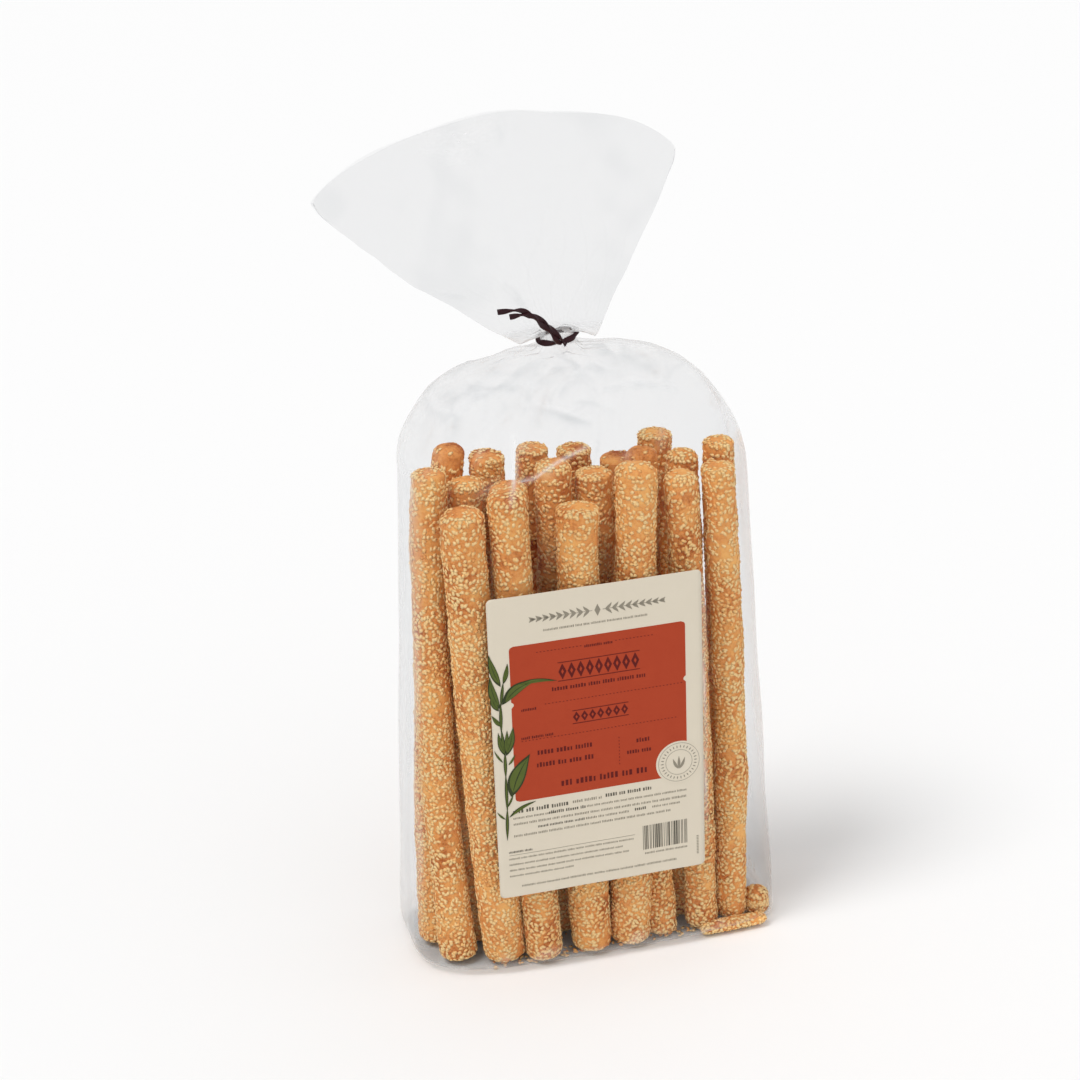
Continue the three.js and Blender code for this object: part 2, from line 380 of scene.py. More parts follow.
def group_material(name, group, specular, bump, bump_mm, **values):
    """A material whose colour, roughness and height come from a node group that reads the place
    on the piece. Values are the group's other inputs."""
    material, tree, output = new_material(name)
    place = add_node(tree, "TexCoord", (-200, 100))
    finish = add_node(tree, "Group", (100, 0), node_tree=group, **values)
    relief = add_node(tree, "Bump", (350, -200), Strength=bump, Distance=bump_mm * MM)
    shader = add_node(tree, "BsdfPrincipled", (600, 0), Specular_IOR_Level=specular)
    connect(
        tree,
        (place, "Object", finish, "Position"),
        (finish, "Colour", shader, "Base Color"),
        (finish, "Roughness", shader, "Roughness"),
        (finish, "Height", relief, "Height"),
        (relief, "Normal", shader, "Normal"),
        (shader, "BSDF", output, "Surface"),
    )
    return material, tree, finish


print("a material from a group: its shader takes colour, roughness and height from the group")

# %% [markdown]
# The crust runs from straw to deep brown. The sesame is paler than the crust it lies on, so that
# the seeds stand out from it.


# %% Crust and sesame
def baked_material(name, pale, golden, brown, patch_mm, grain_mm, bump_mm, specular):
    """A baked finish: three linear colours, the size of its patches and of its grain, and how
    deep the grain is."""
    sizes = {"Patch_Scale": 1 / (patch_mm * MM), "Grain_Scale": 1 / (grain_mm * MM)}
    tones = {"Pale": (*pale, 1), "Golden": (*golden, 1), "Brown": (*brown, 1)}
    material, tree, finish = group_material(name, baked, specular, 0.8, bump_mm, **sizes, **tones)
    tone = add_node(tree, "Attribute", (-200, -200), attribute_name="tone")
    connect(tree, (tone, "Fac", finish, "Tone"))
    return material


crust = baked_material(
    "crust",
    pale=(0.97, 0.50, 0.155),
    golden=(0.83, 0.335, 0.095),
    brown=(0.44, 0.108, 0.022),
    patch_mm=14,
    grain_mm=1.2,
    bump_mm=0.6,
    specular=0.2,
)
sesame = baked_material(
    "sesame",
    pale=(1.0, 0.71, 0.33),
    golden=(1.0, 0.60, 0.225),
    brown=(0.84, 0.36, 0.09),
    patch_mm=9,
    grain_mm=1.1,
    bump_mm=0.1,
    specular=0.5,
)
print("baked finishes:", crust.name, "and", sesame.name)

# %% [markdown]
# The floor is plain matt paper, almost white, so that it shows the soft shadow and nothing else.

# %% White paper for the floor
floor_material, tree, output = new_material("white_paper")
shader = add_node(tree, "BsdfPrincipled", (600, 0), Roughness=0.9, Base_Color=(0.9, 0.9, 0.9, 1))
connect(tree, (shader, "BSDF", output, "Surface"))
floor.data.materials.append(floor_material)
print("floor finish:", floor_material.name)

# %% [markdown]
# ## Where the breadsticks stand
# Twenty sticks stand in the bag in three loose rows, each as long as a hand and as thick as a
# thumb. They lean outwards towards the base, where there is more room, and no two reach the same
# height. A small table of places says where each one's foot and tip are.

# %% The sticks' places
FOOT_HEIGHT = 1.6
STICK_PLACES = {  # foot x, foot y, tip x, tip y, tip height, radius, bow to the right
    "front_1": (-38.0, -17.5, -47.0, -20.0, 194.5, 8.0, -1.5),
    "front_2": (-23.5, -21.5, -30.5, -20.0, 199.5, 7.2, 0.5),
    "front_3": (-3.5, -21.0, -3.5, -20.0, 189.5, 7.7, -2.5),
    "front_4": (12.0, -21.5, 19.0, -20.0, 203.5, 7.5, 0.0),
    "front_5": (42.5, -20.0, 36.5, -18.0, 197.0, 6.2, 1.0),
    "front_6": (55.5, -17.5, 51.0, -18.0, 197.5, 6.1, 2.0),
    "side_left": (-55.5, -12.0, -55.5, -4.0, 204.5, 6.6, -3.5),
    "side_right": (60.5, 2.0, 57.0, -2.0, 201.0, 6.0, -0.5),
    "middle_1": (-45.5, -1.0, -40.5, -1.0, 198.5, 6.8, -3.5),
    "middle_2": (-12.0, -4.0, -8.0, -3.0, 202.0, 6.6, 0.0),
    "middle_3": (5.0, -4.0, 7.5, -3.0, 195.5, 7.1, 1.0),
    "middle_4": (25.5, -20.0, 28.0, 2.0, 200.5, 5.7, -1.0),
    "middle_5": (37.5, -8.5, 42.5, -1.0, 198.5, 6.1, 2.5),
    "back_1": (-61.5, 3.0, -42.5, 16.0, 206.0, 6.4, -4.5),
    "back_2": (-36.0, 17.0, -29.5, 12.0, 202.0, 6.4, 0.5),
    "back_3": (-27.5, -1.5, -25.5, -4.0, 196.0, 6.8, -0.5),
    "back_4": (-15.0, 18.0, -10.5, 18.0, 200.0, 6.5, -1.0),
    "back_5": (4.0, 18.0, 6.0, 18.0, 197.5, 6.4, 1.0),
    "back_6": (23.0, 18.0, 23.5, 18.0, 191.5, 7.3, 1.0),
    "back_7": (42.0, 19.0, 38.5, 20.0, 198.5, 6.3, 1.0),
}
FLAT_TIPS = ("side_left", "side_right", "front_3", "front_6", "middle_3")
FLAT_TIPS += ("back_2", "back_4", "back_5", "back_6", "back_7")
BARE_TIPS = ("back_1", "back_6", "middle_4")  # without seeds on the end
print(len(STICK_PLACES), "breadsticks")

# %% [markdown]
# ## One breadstick
# A breadstick is rolled by hand: nearly round, a little fatter here and thinner there, with a
# slight bow. Its surface is a ring of points carried along that bowed line. Towards each end the
# ring shrinks along a superellipse, which gives a rounded end, or a flat one where it was cut.

# %% The outline of a breadstick
ROUND_TIP = (4.6, 2.5)  # height and squareness of a rounded end
FLAT_TIP = (2.0, 3.4)  # and of a cut one


def stick_shape(name, foot, tip, radius, bow, number):
    """All the numbers that say how one stick is shaped, drawn from its own seed."""
    draw = np.random.default_rng(100 + number)
    tip_height, tip_squareness = FLAT_TIP if name in FLAT_TIPS else ROUND_TIP
    return {
        "name": name,
        "foot": np.array(foot, float),
        "tip": np.array(tip, float),
        "radius": radius,
        "bow": np.array((bow, draw.uniform(-0.9, 0.9), 0)),
        "cap_height": (draw.uniform(2.6, 4.2), tip_height),
        "squareness": (draw.uniform(2.4, 3.0), tip_squareness),
        "seed": 1000 + 10 * number,
        "oval": draw.uniform(0.01, 0.035),
        "oval_turn": draw.uniform(0, np.pi),
        "tone": draw.uniform(-0.06, 0.06),
    }


def stick_profile(shape, along):
    """Distance from the foot and share of the full radius, for a place along the outline from
    the middle of the foot, 0, over the side to the middle of the tip, 3. In either end part the
    share is sin^(2/n) and the height is cos^(2/n) of a quarter turn, a superellipse."""
    length = np.linalg.norm(shape["tip"] - shape["foot"])
    low, high = shape["cap_height"]
    low_power, high_power = (2 / squareness for squareness in shape["squareness"])
    low_turn = np.clip(along, 0, 1) * np.pi / 2
    high_turn = np.clip(3 - along, 0, 1) * np.pi / 2
    middle = np.clip(along - 1, 0, 1) * (length - low - high)
    distance = low * (1 - np.cos(low_turn).clip(0) ** low_power) + middle
    distance = distance + high * np.cos(high_turn).clip(0) ** high_power
    share = np.minimum(np.sin(low_turn) ** low_power, np.sin(high_turn) ** high_power)
    return distance, share


shapes = []
for number, (name, place) in enumerate(STICK_PLACES.items()):
    foot_x, foot_y, tip_x, tip_y, tip_height, radius, bow = place
    foot, tip = (foot_x, foot_y, FOOT_HEIGHT), (tip_x, tip_y, tip_height)
    shapes.append(stick_shape(name, foot, tip, radius, bow, number))
print("stick lengths", [int(np.linalg.norm(s["tip"] - s["foot"])) for s in shapes])

# %% [markdown]
# Round the bowed line, each ring is a slight oval with lumps of three sizes on it. The lumps are
# read from the place on an unbent stick, so that they don't change when the stick is moved.

# %% The surface of a breadstick
LUMPS = ((34, 0.30), (12, 0.14), (4.5, 0.06))  # wavelength and height of the lumps, widest first
END_LUMPS = (7, 0.25)


def stick_surface(shape, turn, along):
    """Points of a stick's surface: centre line + radius * (sideways * cos + outwards * sin).
    The centre line is straight from foot to tip plus bow * 4 s (1 - s); the radius is an oval
    with wide and narrow lumps on it."""
    distance, share = stick_profile(shape, along)
    axis = shape["tip"] - shape["foot"]
    length = np.linalg.norm(axis)
    part = (distance / length)[..., None]
    centre = shape["foot"] + axis * part + shape["bow"] * 4 * part * (1 - part)
    direction = unit(axis)
    sideways = unit(np.array((1.0, 0, 0)) - direction * direction[0])
    outwards = np.cross(direction, sideways)
    angle = turn * 2 * np.pi
    cos, sin = np.cos(angle), np.sin(angle)
    unbent = np.stack([cos * shape["radius"], sin * shape["radius"], distance], axis=-1)
    lumps = sum(
        waves(unbent, length, shape["seed"] + number) * height
        for number, (length, height) in enumerate(LUMPS)
    )
    oval = 1 + shape["oval"] * np.cos(2 * (angle - shape["oval_turn"]))
    reach = (shape["radius"] * oval + lumps) * share
    around = sideways * cos[..., None] + outwards * sin[..., None]
    end_lumps = waves(unbent * (1, 1, 0), END_LUMPS[0], shape["seed"] + 3) * END_LUMPS[1]
    end_lumps = end_lumps * (1 - share)
    return centre + around * reach[..., None] + direction * end_lumps[..., None]


grid = stick_surface(shapes[0], np.arange(4)[None] / 4, np.full((1, 4), 1.5))[0]
print("four points half way up the first stick:", grid.round(1).tolist())

# %% [markdown]
# A stick is toasted unevenly: darker at its foot. The back rows are darker too, which is painted
# shade, as less light reaches them. Each point carries that tone for the baked surface to read.

# %% Make the sticks
COLUMNS = 44
CAP_ROWS = 9
SIDE_ROWS = 104
CRUST_TONE = 0.42
TONE_PATCH = 26  # wavelength of the patches on a stick
TONE_PATCHINESS = 0.10
FOOT_TOAST = 0.14  # how much darker the foot is
BACK_ROW_SHADE = 0.10  # painted shade: how much darker the back rows are


def tube_rows():
    """Places along the outline of a stick, close together on its ends."""
    cap = np.linspace(0, 1, CAP_ROWS + 1)[1:]
    side = np.linspace(1, 2, SIDE_ROWS + 1)[1:-1]
    return np.concatenate([cap, side, 3 - cap[::-1]])


def make_stick(shape):
    """One breadstick: its grid of points closed at the middle of the foot and of the tip."""
    along, turn = np.meshgrid(tube_rows(), np.arange(COLUMNS) / COLUMNS, indexing="ij")
    grid = stick_surface(shape, turn, along)
    ends = stick_surface(shape, np.zeros(2), np.array((0.0, 3.0)))
    points, quads, caps = closed_tube(grid, *ends)
    patchy = waves(points, TONE_PATCH, shape["seed"] + 4) * TONE_PATCHINESS
    tone = CRUST_TONE + shape["tone"] + patchy
    tone = tone + FOOT_TOAST * (1 - smooth_step(points[:, 2], 2, 28))
    # painted shade: the back rows get less light, so their crust is painted darker
    tone = tone + BACK_ROW_SHADE * smooth_step(points[:, 1], -8, 16)
    name = "breadstick_" + shape["name"]
    make_piece(name, points, quads, caps, slot="bread_crust", material=crust, tone=tone)
    return len(points)


print("sticks made, points in each:", {make_stick(shape) for shape in shapes})

# %% [markdown]
# ## The sesame seeds
# Each stick is rolled in sesame: over two thousand seeds, flat drops a little over 2 mm long,
# pressed in at every angle and overlapping in places. A seed repeated that often has to be simple:
# a ring of six points and one point above and below it, twelve triangles.

# %% One seed, many times
SEED_SIZE = (2.25, 1.5, 0.56)  # length, width and thickness
RING_POINTS = 6
SEED_POINTS = RING_POINTS + 2
SEED_TILT = 0.13  # spread of the slope that a seed is tilted by
SEED_VARIATION = 0.09  # spread of its size
SEED_TOAST = (0.2, 0.22)  # middle and spread of its tone


def seed_points():
    """A drop, pointed at one end: a ring (cos, sin * (1 - 0.35 cos)) and a point above and below."""
    angle = np.arange(RING_POINTS) * 2 * np.pi / RING_POINTS
    width = np.sin(angle) * (1 - 0.35 * np.cos(angle))
    ring = np.column_stack([np.cos(angle) / 2, width / 2, np.zeros(RING_POINTS)])
    return np.concatenate([ring, [(-0.08, 0, 0.5)], [(0, 0, -0.5)]])


def seed_faces():
    """Twelve triangles: the ring joined to the point above it and to the one below."""
    ring = np.arange(RING_POINTS)
    above = pole_faces(RING_POINTS, ring, turned=True)
    return np.concatenate([above, pole_faces(RING_POINTS + 1, ring)])


def place_seeds(centres, normals, tangents, draw):
    """Points, faces and tones of seeds that lie at centres, flat on the surface, each turned
    by its own angle and a little tilted, sized and toasted."""
    count = len(centres)
    angle = draw.uniform(0, 2 * np.pi, (count, 1))
    across = unit(np.cross(normals, tangents))
    tilt = draw.normal(0, SEED_TILT, (count, 2))
    up = unit(normals + tangents * tilt[:, :1] + across * tilt[:, 1:])
    long_way = unit(np.cross(across * np.cos(angle) - tangents * np.sin(angle), up))
    short_way = np.cross(up, long_way)
    size = draw.normal(1, SEED_VARIATION, (count, 3)).clip(0.75, 1.25) * SEED_SIZE
    local = seed_points()[None] * size[:, None]
    basis = np.stack([long_way, short_way, up], axis=1)
    points = centres[:, None] + local @ basis
    faces = seed_faces()[None] + (np.arange(count) * SEED_POINTS)[:, None, None]
    toast = draw.normal(*SEED_TOAST, (count, 1)).clip(-0.2, 0.85)
    tone = np.repeat(toast, SEED_POINTS, axis=1)
    return points.reshape(-1, 3), faces.reshape(-1, 3), tone.ravel()


print("a seed has", SEED_POINTS, "points and", len(seed_faces()), "triangles")

# %% [markdown]
# The seeds lie in rows like bricks, and each is moved at random by less than half the space between
# two. Where a slow random wave is high, many seeds have rubbed off.

# %% Where the seeds lie
SEED_SPACING = 1.8
ROW_SPACING = SEED_SPACING * 0.87  # rows of bricks lie closer than the bricks in a row
JITTER = 0.42  # share of the spacing
SEED_CHANCE = 0.93
PATCH_LOSS = 0.5  # how much smaller the chance is in a bare patch
TOP_LOSS = 0.2  # share of the seeds missing in the upper half
BARE_TIP = 6.0  # on a stick with a bare end, the seeds begin about this far from its tip


def seed_places(shape, draw):
    """Rows of evenly spaced places on a stick, as turn and place along its outline. Every second
    row is half a space further on, and every place is moved at random."""
    length = np.linalg.norm(shape["tip"] - shape["foot"])
    around = int(2 * np.pi * shape["radius"] / SEED_SPACING)
    side = 1 + np.arange(0, length, ROW_SPACING) / length
    ends = np.linspace(0.15, 1, 6)[:-1]
    along = np.concatenate([ends, side, 3 - ends[::-1]])
    along, turn = np.meshgrid(along, np.arange(around) / around, indexing="ij")
    turn = turn + (np.arange(len(along)) % 2)[:, None] / (2 * around)
    turn = turn + draw.uniform(-JITTER, JITTER, turn.shape) / around
    along = along + draw.uniform(-JITTER, JITTER, turn.shape) * SEED_SPACING / length
    return turn.ravel(), along.clip(0.05, 2.95).ravel()


def seed_chance(shape, centre, along):
    """How likely a seed is at each place: less in bare patches, near the middle of either end, in
    the upper half, and on a bare tip."""
    distance, share = stick_profile(shape, along)
    patchy = waves(centre, 17, shape["seed"] + 6) + 0.5 * waves(centre, 7, shape["seed"] + 7)
    chance = SEED_CHANCE - PATCH_LOSS * smooth_step(patchy, 0.75, 1.5)
    chance = chance * smooth_step(share, 0.1, 0.9)
    chance = chance * (1 - TOP_LOSS * smooth_step(centre[:, 2], 110, 190))
    if shape["name"] in BARE_TIPS:
        from_tip = np.linalg.norm(shape["tip"] - shape["foot"]) - distance
        chance = chance * (0.12 + 0.88 * smooth_step(from_tip, 0.5 * BARE_TIP, 1.5 * BARE_TIP))
    return chance


print("rows of seeds are", round(ROW_SPACING, 2), "mm apart")

# %% [markdown]
# A seed lies flat on the crust. The surface's own function, asked again a small step to each side,
# gives two directions along the surface, and their cross product is the way out of it.

# %% The seeds of one stick
SEED_LIFT = 0.06
STEP = 0.004  # of the stick's outline, to either side, for the directions


def seeds_on(shape):
    """All the seeds of one stick, lying on its surface."""
    draw = np.random.default_rng(shape["seed"] + 5)
    turn, along = seed_places(shape, draw)
    centre = stick_surface(shape, turn, along)
    sideways = stick_surface(shape, turn + STEP, along) - stick_surface(shape, turn - STEP, along)
    lengthways = stick_surface(shape, turn, along + STEP) - stick_surface(shape, turn, along - STEP)
    normal = unit(np.cross(sideways, lengthways))
    keep = draw.uniform(size=len(along)) < seed_chance(shape, centre, along)
    lifted = centre + normal * SEED_LIFT
    return place_seeds(lifted[keep], normal[keep], unit(sideways)[keep], draw)


print("the first stick carries", len(seeds_on(shapes[0])[0]) // SEED_POINTS, "seeds")

# %% [markdown]
# All the seeds of four sticks are one mesh: many small meshes would be slow, and one mesh for all
# of them would be too big to handle.

# %% All the seeds
STICKS_PER_MESH = 4


def join_meshes(parts):
    """One mesh from several lots of points, faces and tones."""
    offsets = np.cumsum([0] + [len(points) for points, _, _ in parts[:-1]])
    faces = [part[1] + offset for part, offset in zip(parts, offsets)]
    points = np.concatenate([part[0] for part in parts])
    return points, np.concatenate(faces), np.concatenate([part[2] for part in parts])


def make_seeds(name, parts):
    """One piece of sesame from lots of placed seeds."""
    points, faces, tone = join_meshes(parts)
    make_piece(name, points, faces, slot="sesame", material=sesame, tone=tone)
    print(f"{name}:", len(points) // SEED_POINTS, "seeds")


for first in range(0, len(shapes), STICKS_PER_MESH):
    some = shapes[first : first + STICKS_PER_MESH]
    make_seeds(f"sesame_{first // STICKS_PER_MESH + 1}", [seeds_on(shape) for shape in some])

# %% [markdown]
# ## Broken bits and crumbs
# Baked sticks are brittle, and the bag holds what broke off: a short stub on end in the right
# front corner, a chip that lies along the front edge, and crumbs and loose seeds on the base. The
# stub and the chip are short sticks.

# %% Stub and chip
stub = stick_shape("stub", (66.0, -18.0, 1.4), (66.8, -17.0, 12.0), 4.9, 0, 40)
chip = stick_shape("chip", (39.5, -27.4, 3.3), (67.0, -26.6, 3.6), 2.7, 0, 41)
for broken in (stub, chip):
    broken["bow"][:] = 0
    make_stick(broken)
make_seeds("sesame_bits", [seeds_on(stub), seeds_on(chip)])
print("the chip is", int(np.linalg.norm(chip["tip"] - chip["foot"])), "mm long")

# %% [markdown]
# A crumb is a small ball of six points pushed about at random. Most crumbs and loose seeds have
# gathered along the front edge, so their depth is drawn from a distribution that falls off towards
# the back.

# %% Crumbs and loose seeds
CRUMBS = 150
LOOSE = 170
LITTER_X = (-44, 66)
LITTER_FRONT = (-24.5, -25)  # where the crumbs and the loose seeds begin
LITTER_FALL = (9, 7)  # and how far behind that they lie on average
draw = np.random.default_rng(7)
crumb_x = draw.uniform(*LITTER_X, CRUMBS)
crumb_y = LITTER_FRONT[0] + draw.exponential(LITTER_FALL[0], CRUMBS).clip(0, 52)
crumb_size = draw.uniform(0.35, 1.0, CRUMBS)
crumb_centres = np.column_stack([crumb_x, crumb_y, 0.35 + crumb_size * 0.7])
ball = np.array([(1, 0, 0), (0, 1, 0), (-1, 0, 0), (0, -1, 0), (0, 0, 1), (0, 0, -1)], float)
ball_faces = np.array(
    [(0, 1, 4), (1, 2, 4), (2, 3, 4), (3, 0, 4), (1, 0, 5), (2, 1, 5), (3, 2, 5), (0, 3, 5)]
)
rough_balls = ball[None] * crumb_size[:, None, None] + draw.normal(0, 0.16, (CRUMBS, 6, 3))
crumb_points = (crumb_centres[:, None] + rough_balls).reshape(-1, 3)
crumb_points[:, 2] = crumb_points[:, 2].clip(0.3)  # flat where they lie on the film
crumb_faces = (ball_faces[None] + (np.arange(CRUMBS) * 6)[:, None, None]).reshape(-1, 3)
crumb_tone = np.repeat(draw.uniform(-0.1, 0.7, CRUMBS), 6)
make_piece(
    "crumbs",
    crumb_points,
    crumb_faces,
    slot="bread_crust",
    material=crust,
    flat=True,
    tone=crumb_tone,
)

loose_x = draw.uniform(*LITTER_X, LOOSE)
loose_y = LITTER_FRONT[1] + draw.exponential(LITTER_FALL[1], LOOSE).clip(0, 50)
loose_centres = np.column_stack([loose_x, loose_y, np.full(LOOSE, 0.75)])
straight_up = np.tile((0.0, 0.0, 1.0), (LOOSE, 1))
to_the_right = np.tile((1.0, 0.0, 0.0), (LOOSE, 1))
make_seeds("sesame_loose", [place_seeds(loose_centres, straight_up, to_the_right, draw)])
print(CRUMBS, "crumbs")

# %% [markdown]
# ## The film
# The bag is one clear film, so thin that it is a single surface: flat under the sticks, up round
# them, over their tips as a slack dome, in through the tie and out again as a flat fan. Each level
# is a superellipse, an oval whose sides flatten as its squareness rises. The base, the walls and
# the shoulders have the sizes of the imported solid, and the neck is drawn in a little tighter.

# %% Sections of the bag
FILM_COLUMNS = 400
BASE = (72.6, 31.0, 7.0, 0.2)  # half width, half depth, squareness, middle x
SHOULDER = (63.0, 29.5, 5.5, 0.0)
COLLAR = (9.5, 6.6, 2.2, -3.8)
NECK = (6.2, 4.4, 2.0, -3.8)
BASE_ROUNDING = 7.0
SHOULDER_HEIGHT = 200.0
COLLAR_HEIGHT = 244.4
NECK_HEIGHT = 249.8
NECK_STRAIGHT = 1.8
FILM_LIFT = 0.25  # the film's underside clears the floor by this much
SOFT_CORNER = 0.46  # the left front corner of the base has this share of the squareness
SOFT_CORNER_TOP = 60.0  # up to this height


def blend_sections(low, high, share):
    """Sections between two others, one row for each share from 0 to 1."""
    return np.array(low) + (np.array(high) - np.array(low)) * share[:, None]


def section_points(sections, heights, turn):
    """Rings of points: (middle + half width * cos / s, half depth * sin / s, height), where
    s = (|cos|^n + |sin|^n)^(1/n) and n is the squareness, less at the soft corner."""
    width, depth, power, middle = (sections[:, [column]] for column in range(4))
    cos, sin = np.cos(turn * 2 * np.pi), np.sin(turn * 2 * np.pi)
    low = 1 - smooth_step(heights[:, None], 0, SOFT_CORNER_TOP)
    power = power * np.where((cos < 0) & (sin < 0), 1 - (1 - SOFT_CORNER) * low, 1)
    size = (np.abs(cos) ** power + np.abs(sin) ** power) ** (1 / power)
    height = np.broadcast_to(heights[:, None], size.shape)
    return np.stack([middle + width * cos / size, depth * sin / size, height], axis=-1)


def front_of_bag(x, height):
    """Depth of the front film at a place on the wall: -depth * (1 - |x / width|^n)^(1/n)."""
    share = (height - BASE_ROUNDING) / (SHOULDER_HEIGHT - BASE_ROUNDING)
    wall = blend_sections(BASE, SHOULDER, np.ravel(share))
    width, depth, power, middle = (wall[:, column].reshape(np.shape(share)) for column in range(4))
    inside = 1 - np.abs((x - middle) / width) ** power
    return -depth * inside ** (1 / power)


middle_depth = front_of_bag(np.array(0.0), np.array(100.0))
print("half way up, the front film is at", middle_depth.round(1), "mm")

# %% [markdown]
# From the middle of the base upwards the rings follow one another: flat base, rounded edge, wall,
# dome and neck. The dome is a quarter turn, its height the sine and its size a power of the cosine,
# which makes it bulge sideways and slope off to the front and back.

# %% Rings of the body
BASE_ROWS = 10
EDGE_ROWS = 7
WALL_ROWS = 46
DOME_ROWS = 84
NECK_ROWS = 7
DOME_FULLNESS = (0.85, 1.35)  # sideways and depthways: a smaller power bulges more
film_turn = np.arange(FILM_COLUMNS)[None] / FILM_COLUMNS


def shares(count):
    """Even shares from just above 0 to 1."""
    return np.linspace(0, 1, count + 1)[1:]


def body_grid():
    """Rings of the flat base, the rounded edge round it, the wall, the dome and the neck."""
    base_share, wall_share, neck_share = shares(BASE_ROWS), shares(WALL_ROWS), shares(NECK_ROWS)
    edge_turn, dome_turn = shares(EDGE_ROWS) * np.pi / 2, shares(DOME_ROWS) * np.pi / 2
    inner_base = np.array(BASE) - (BASE_ROUNDING, BASE_ROUNDING, 0, 0)
    base = np.tile(inner_base, (len(base_share), 1))
    base[:, :2] *= base_share[:, None]
    edge = np.tile(BASE, (len(edge_turn), 1))
    edge[:, :2] -= BASE_ROUNDING * (1 - np.sin(edge_turn))[:, None]
    wall = blend_sections(BASE, SHOULDER, wall_share)
    dome = blend_sections(SHOULDER, COLLAR, shares(DOME_ROWS))
    for axis, fullness in enumerate(DOME_FULLNESS):
        reach = np.cos(dome_turn).clip(0) ** fullness
        dome[:, axis] = COLLAR[axis] + (SHOULDER[axis] - COLLAR[axis]) * reach
    neck = blend_sections(COLLAR, NECK, 1 - (1 - neck_share) ** 3)
    heights = [
        np.zeros(len(base_share)),
        BASE_ROUNDING * (1 - np.cos(edge_turn)),
        BASE_ROUNDING + (SHOULDER_HEIGHT - BASE_ROUNDING) * wall_share,
        SHOULDER_HEIGHT + (COLLAR_HEIGHT - SHOULDER_HEIGHT) * np.sin(dome_turn),
        COLLAR_HEIGHT + (NECK_HEIGHT + NECK_STRAIGHT - COLLAR_HEIGHT) * neck_share,
    ]
    sections = np.concatenate([base, edge, wall, dome, neck])
    return section_points(sections, np.concatenate(heights), film_turn)


body = body_grid()
print("body", body.shape[0], "rings of", body.shape[1], "points")

# %% [markdown]
# The fan above the tie is the same film pressed flat: two layers that spread from the tie like a
# hand of cards. A ray leaves the neck for every place across, and the film's mouth is where the
# rays end, at a length that grows towards the left corner.

# %% Rings of the fan
FAN_LEFT = np.radians(-57)
FAN_RIGHT = np.radians(37)
FAN_START = (14.5, 4.6, 2.0, -3.8)
FAN_START_HEIGHT = 252.4
FAN_DROOP = 4.6
FAN_EDGE_SAG = 3.2
FAN_HALF_OPENING = 1.2
FAN_WAVE = 2.2
FAN_WAVES = 2.5
FAN_ROWS = 90
FAN_LENGTH = 82.3
FAN_LONGER_LEFT = 23.2
FAN_SHORTER_RIGHT = 2.5
FAN_LEFT_CUT = 1.0  # how much shorter the film is in the left corner of the mouth
FAN_RIGHT_CUT = 0.9  # and in the right one
FAN_CORNER = 1.6  # how far both corners are drawn in


def fan_grid():
    """Rings of the fan. Across it, a ray at an angle from upright is length + more * q^1.25 long
    on the left and length - less * q^3 on the right, q being its share of the way to that edge.
    Both corners are shortened a little more, and drawn in at a right angle to their edge."""
    across = (np.cos(film_turn * 2 * np.pi) + 1) / 2
    ray = FAN_LEFT + (FAN_RIGHT - FAN_LEFT) * across
    left, right = (ray / FAN_LEFT).clip(0), (ray / FAN_RIGHT).clip(0)
    reach = FAN_LENGTH + FAN_LONGER_LEFT * left**1.25 - FAN_SHORTER_RIGHT * right**3
    reach = reach - FAN_LEFT_CUT * ((left - 0.92) / 0.08).clip(0) ** 3
    reach = reach - FAN_RIGHT_CUT * ((right - 0.85) / 0.15).clip(0) ** 3
    waviness = FAN_WAVE * np.sin(2 * np.pi * FAN_WAVES * across)
    depth = FAN_HALF_OPENING * np.sin(film_turn * 2 * np.pi) + waviness
    mouth = (NECK[3] + reach * np.sin(ray), depth, NECK_HEIGHT + reach * np.cos(ray))
    mouth = np.stack(mouth, axis=-1)[0]
    start = section_points(np.array([FAN_START]), np.array([FAN_START_HEIGHT]), film_turn)[0]
    start[:, 2] -= FAN_DROOP * np.cos(film_turn[0] * 2 * np.pi) ** 2
    out = np.linspace(0, 1, FAN_ROWS)[:, None, None]
    grid = start + (mouth - start) * out
    grid[..., 2] -= FAN_EDGE_SAG * np.sin(np.pi * out[..., 0]) * (1 - across) ** 2
    drawn_in = FAN_CORNER * ((out[..., 0] - 0.93) / 0.07).clip(0) ** 2
    for edge, at_edge in ((FAN_LEFT, (1 - across) ** 12), (FAN_RIGHT, across**12)):
        grid[..., 0] -= drawn_in * at_edge * np.cos(edge) * np.sign(edge)
        grid[..., 2] += drawn_in * at_edge * np.sin(edge) * np.sign(edge)
    return grid


film_grid = np.concatenate([body, fan_grid()])
film_grid[..., 2] += FILM_LIFT * (1 - smooth_step(film_grid[..., 2], 0, 20))
print("film grid", film_grid.shape)

# %% [markdown]
# ## Creases
# Thin film creases in straight sharp lines, many of them radiating from the tie. A crease here is a
# line on the surface: near it the film stands proud by a fraction of a millimetre, and it is painted
# whiter or greyer there: a little of that is light the fold really scatters, and the rest is painted
# highlight and painted shade. So the first thing to know of each point is how far it is from such a
# line.


# %% Lines on the film
def distance_to_line(points, start, end):
    """Distance of points from a straight line between two places, and the share along it."""
    step = end - start
    share = ((points - start) @ step / (step @ step)).clip(0, 1)
    return np.linalg.norm(points - start - share[..., None] * step, axis=-1), share


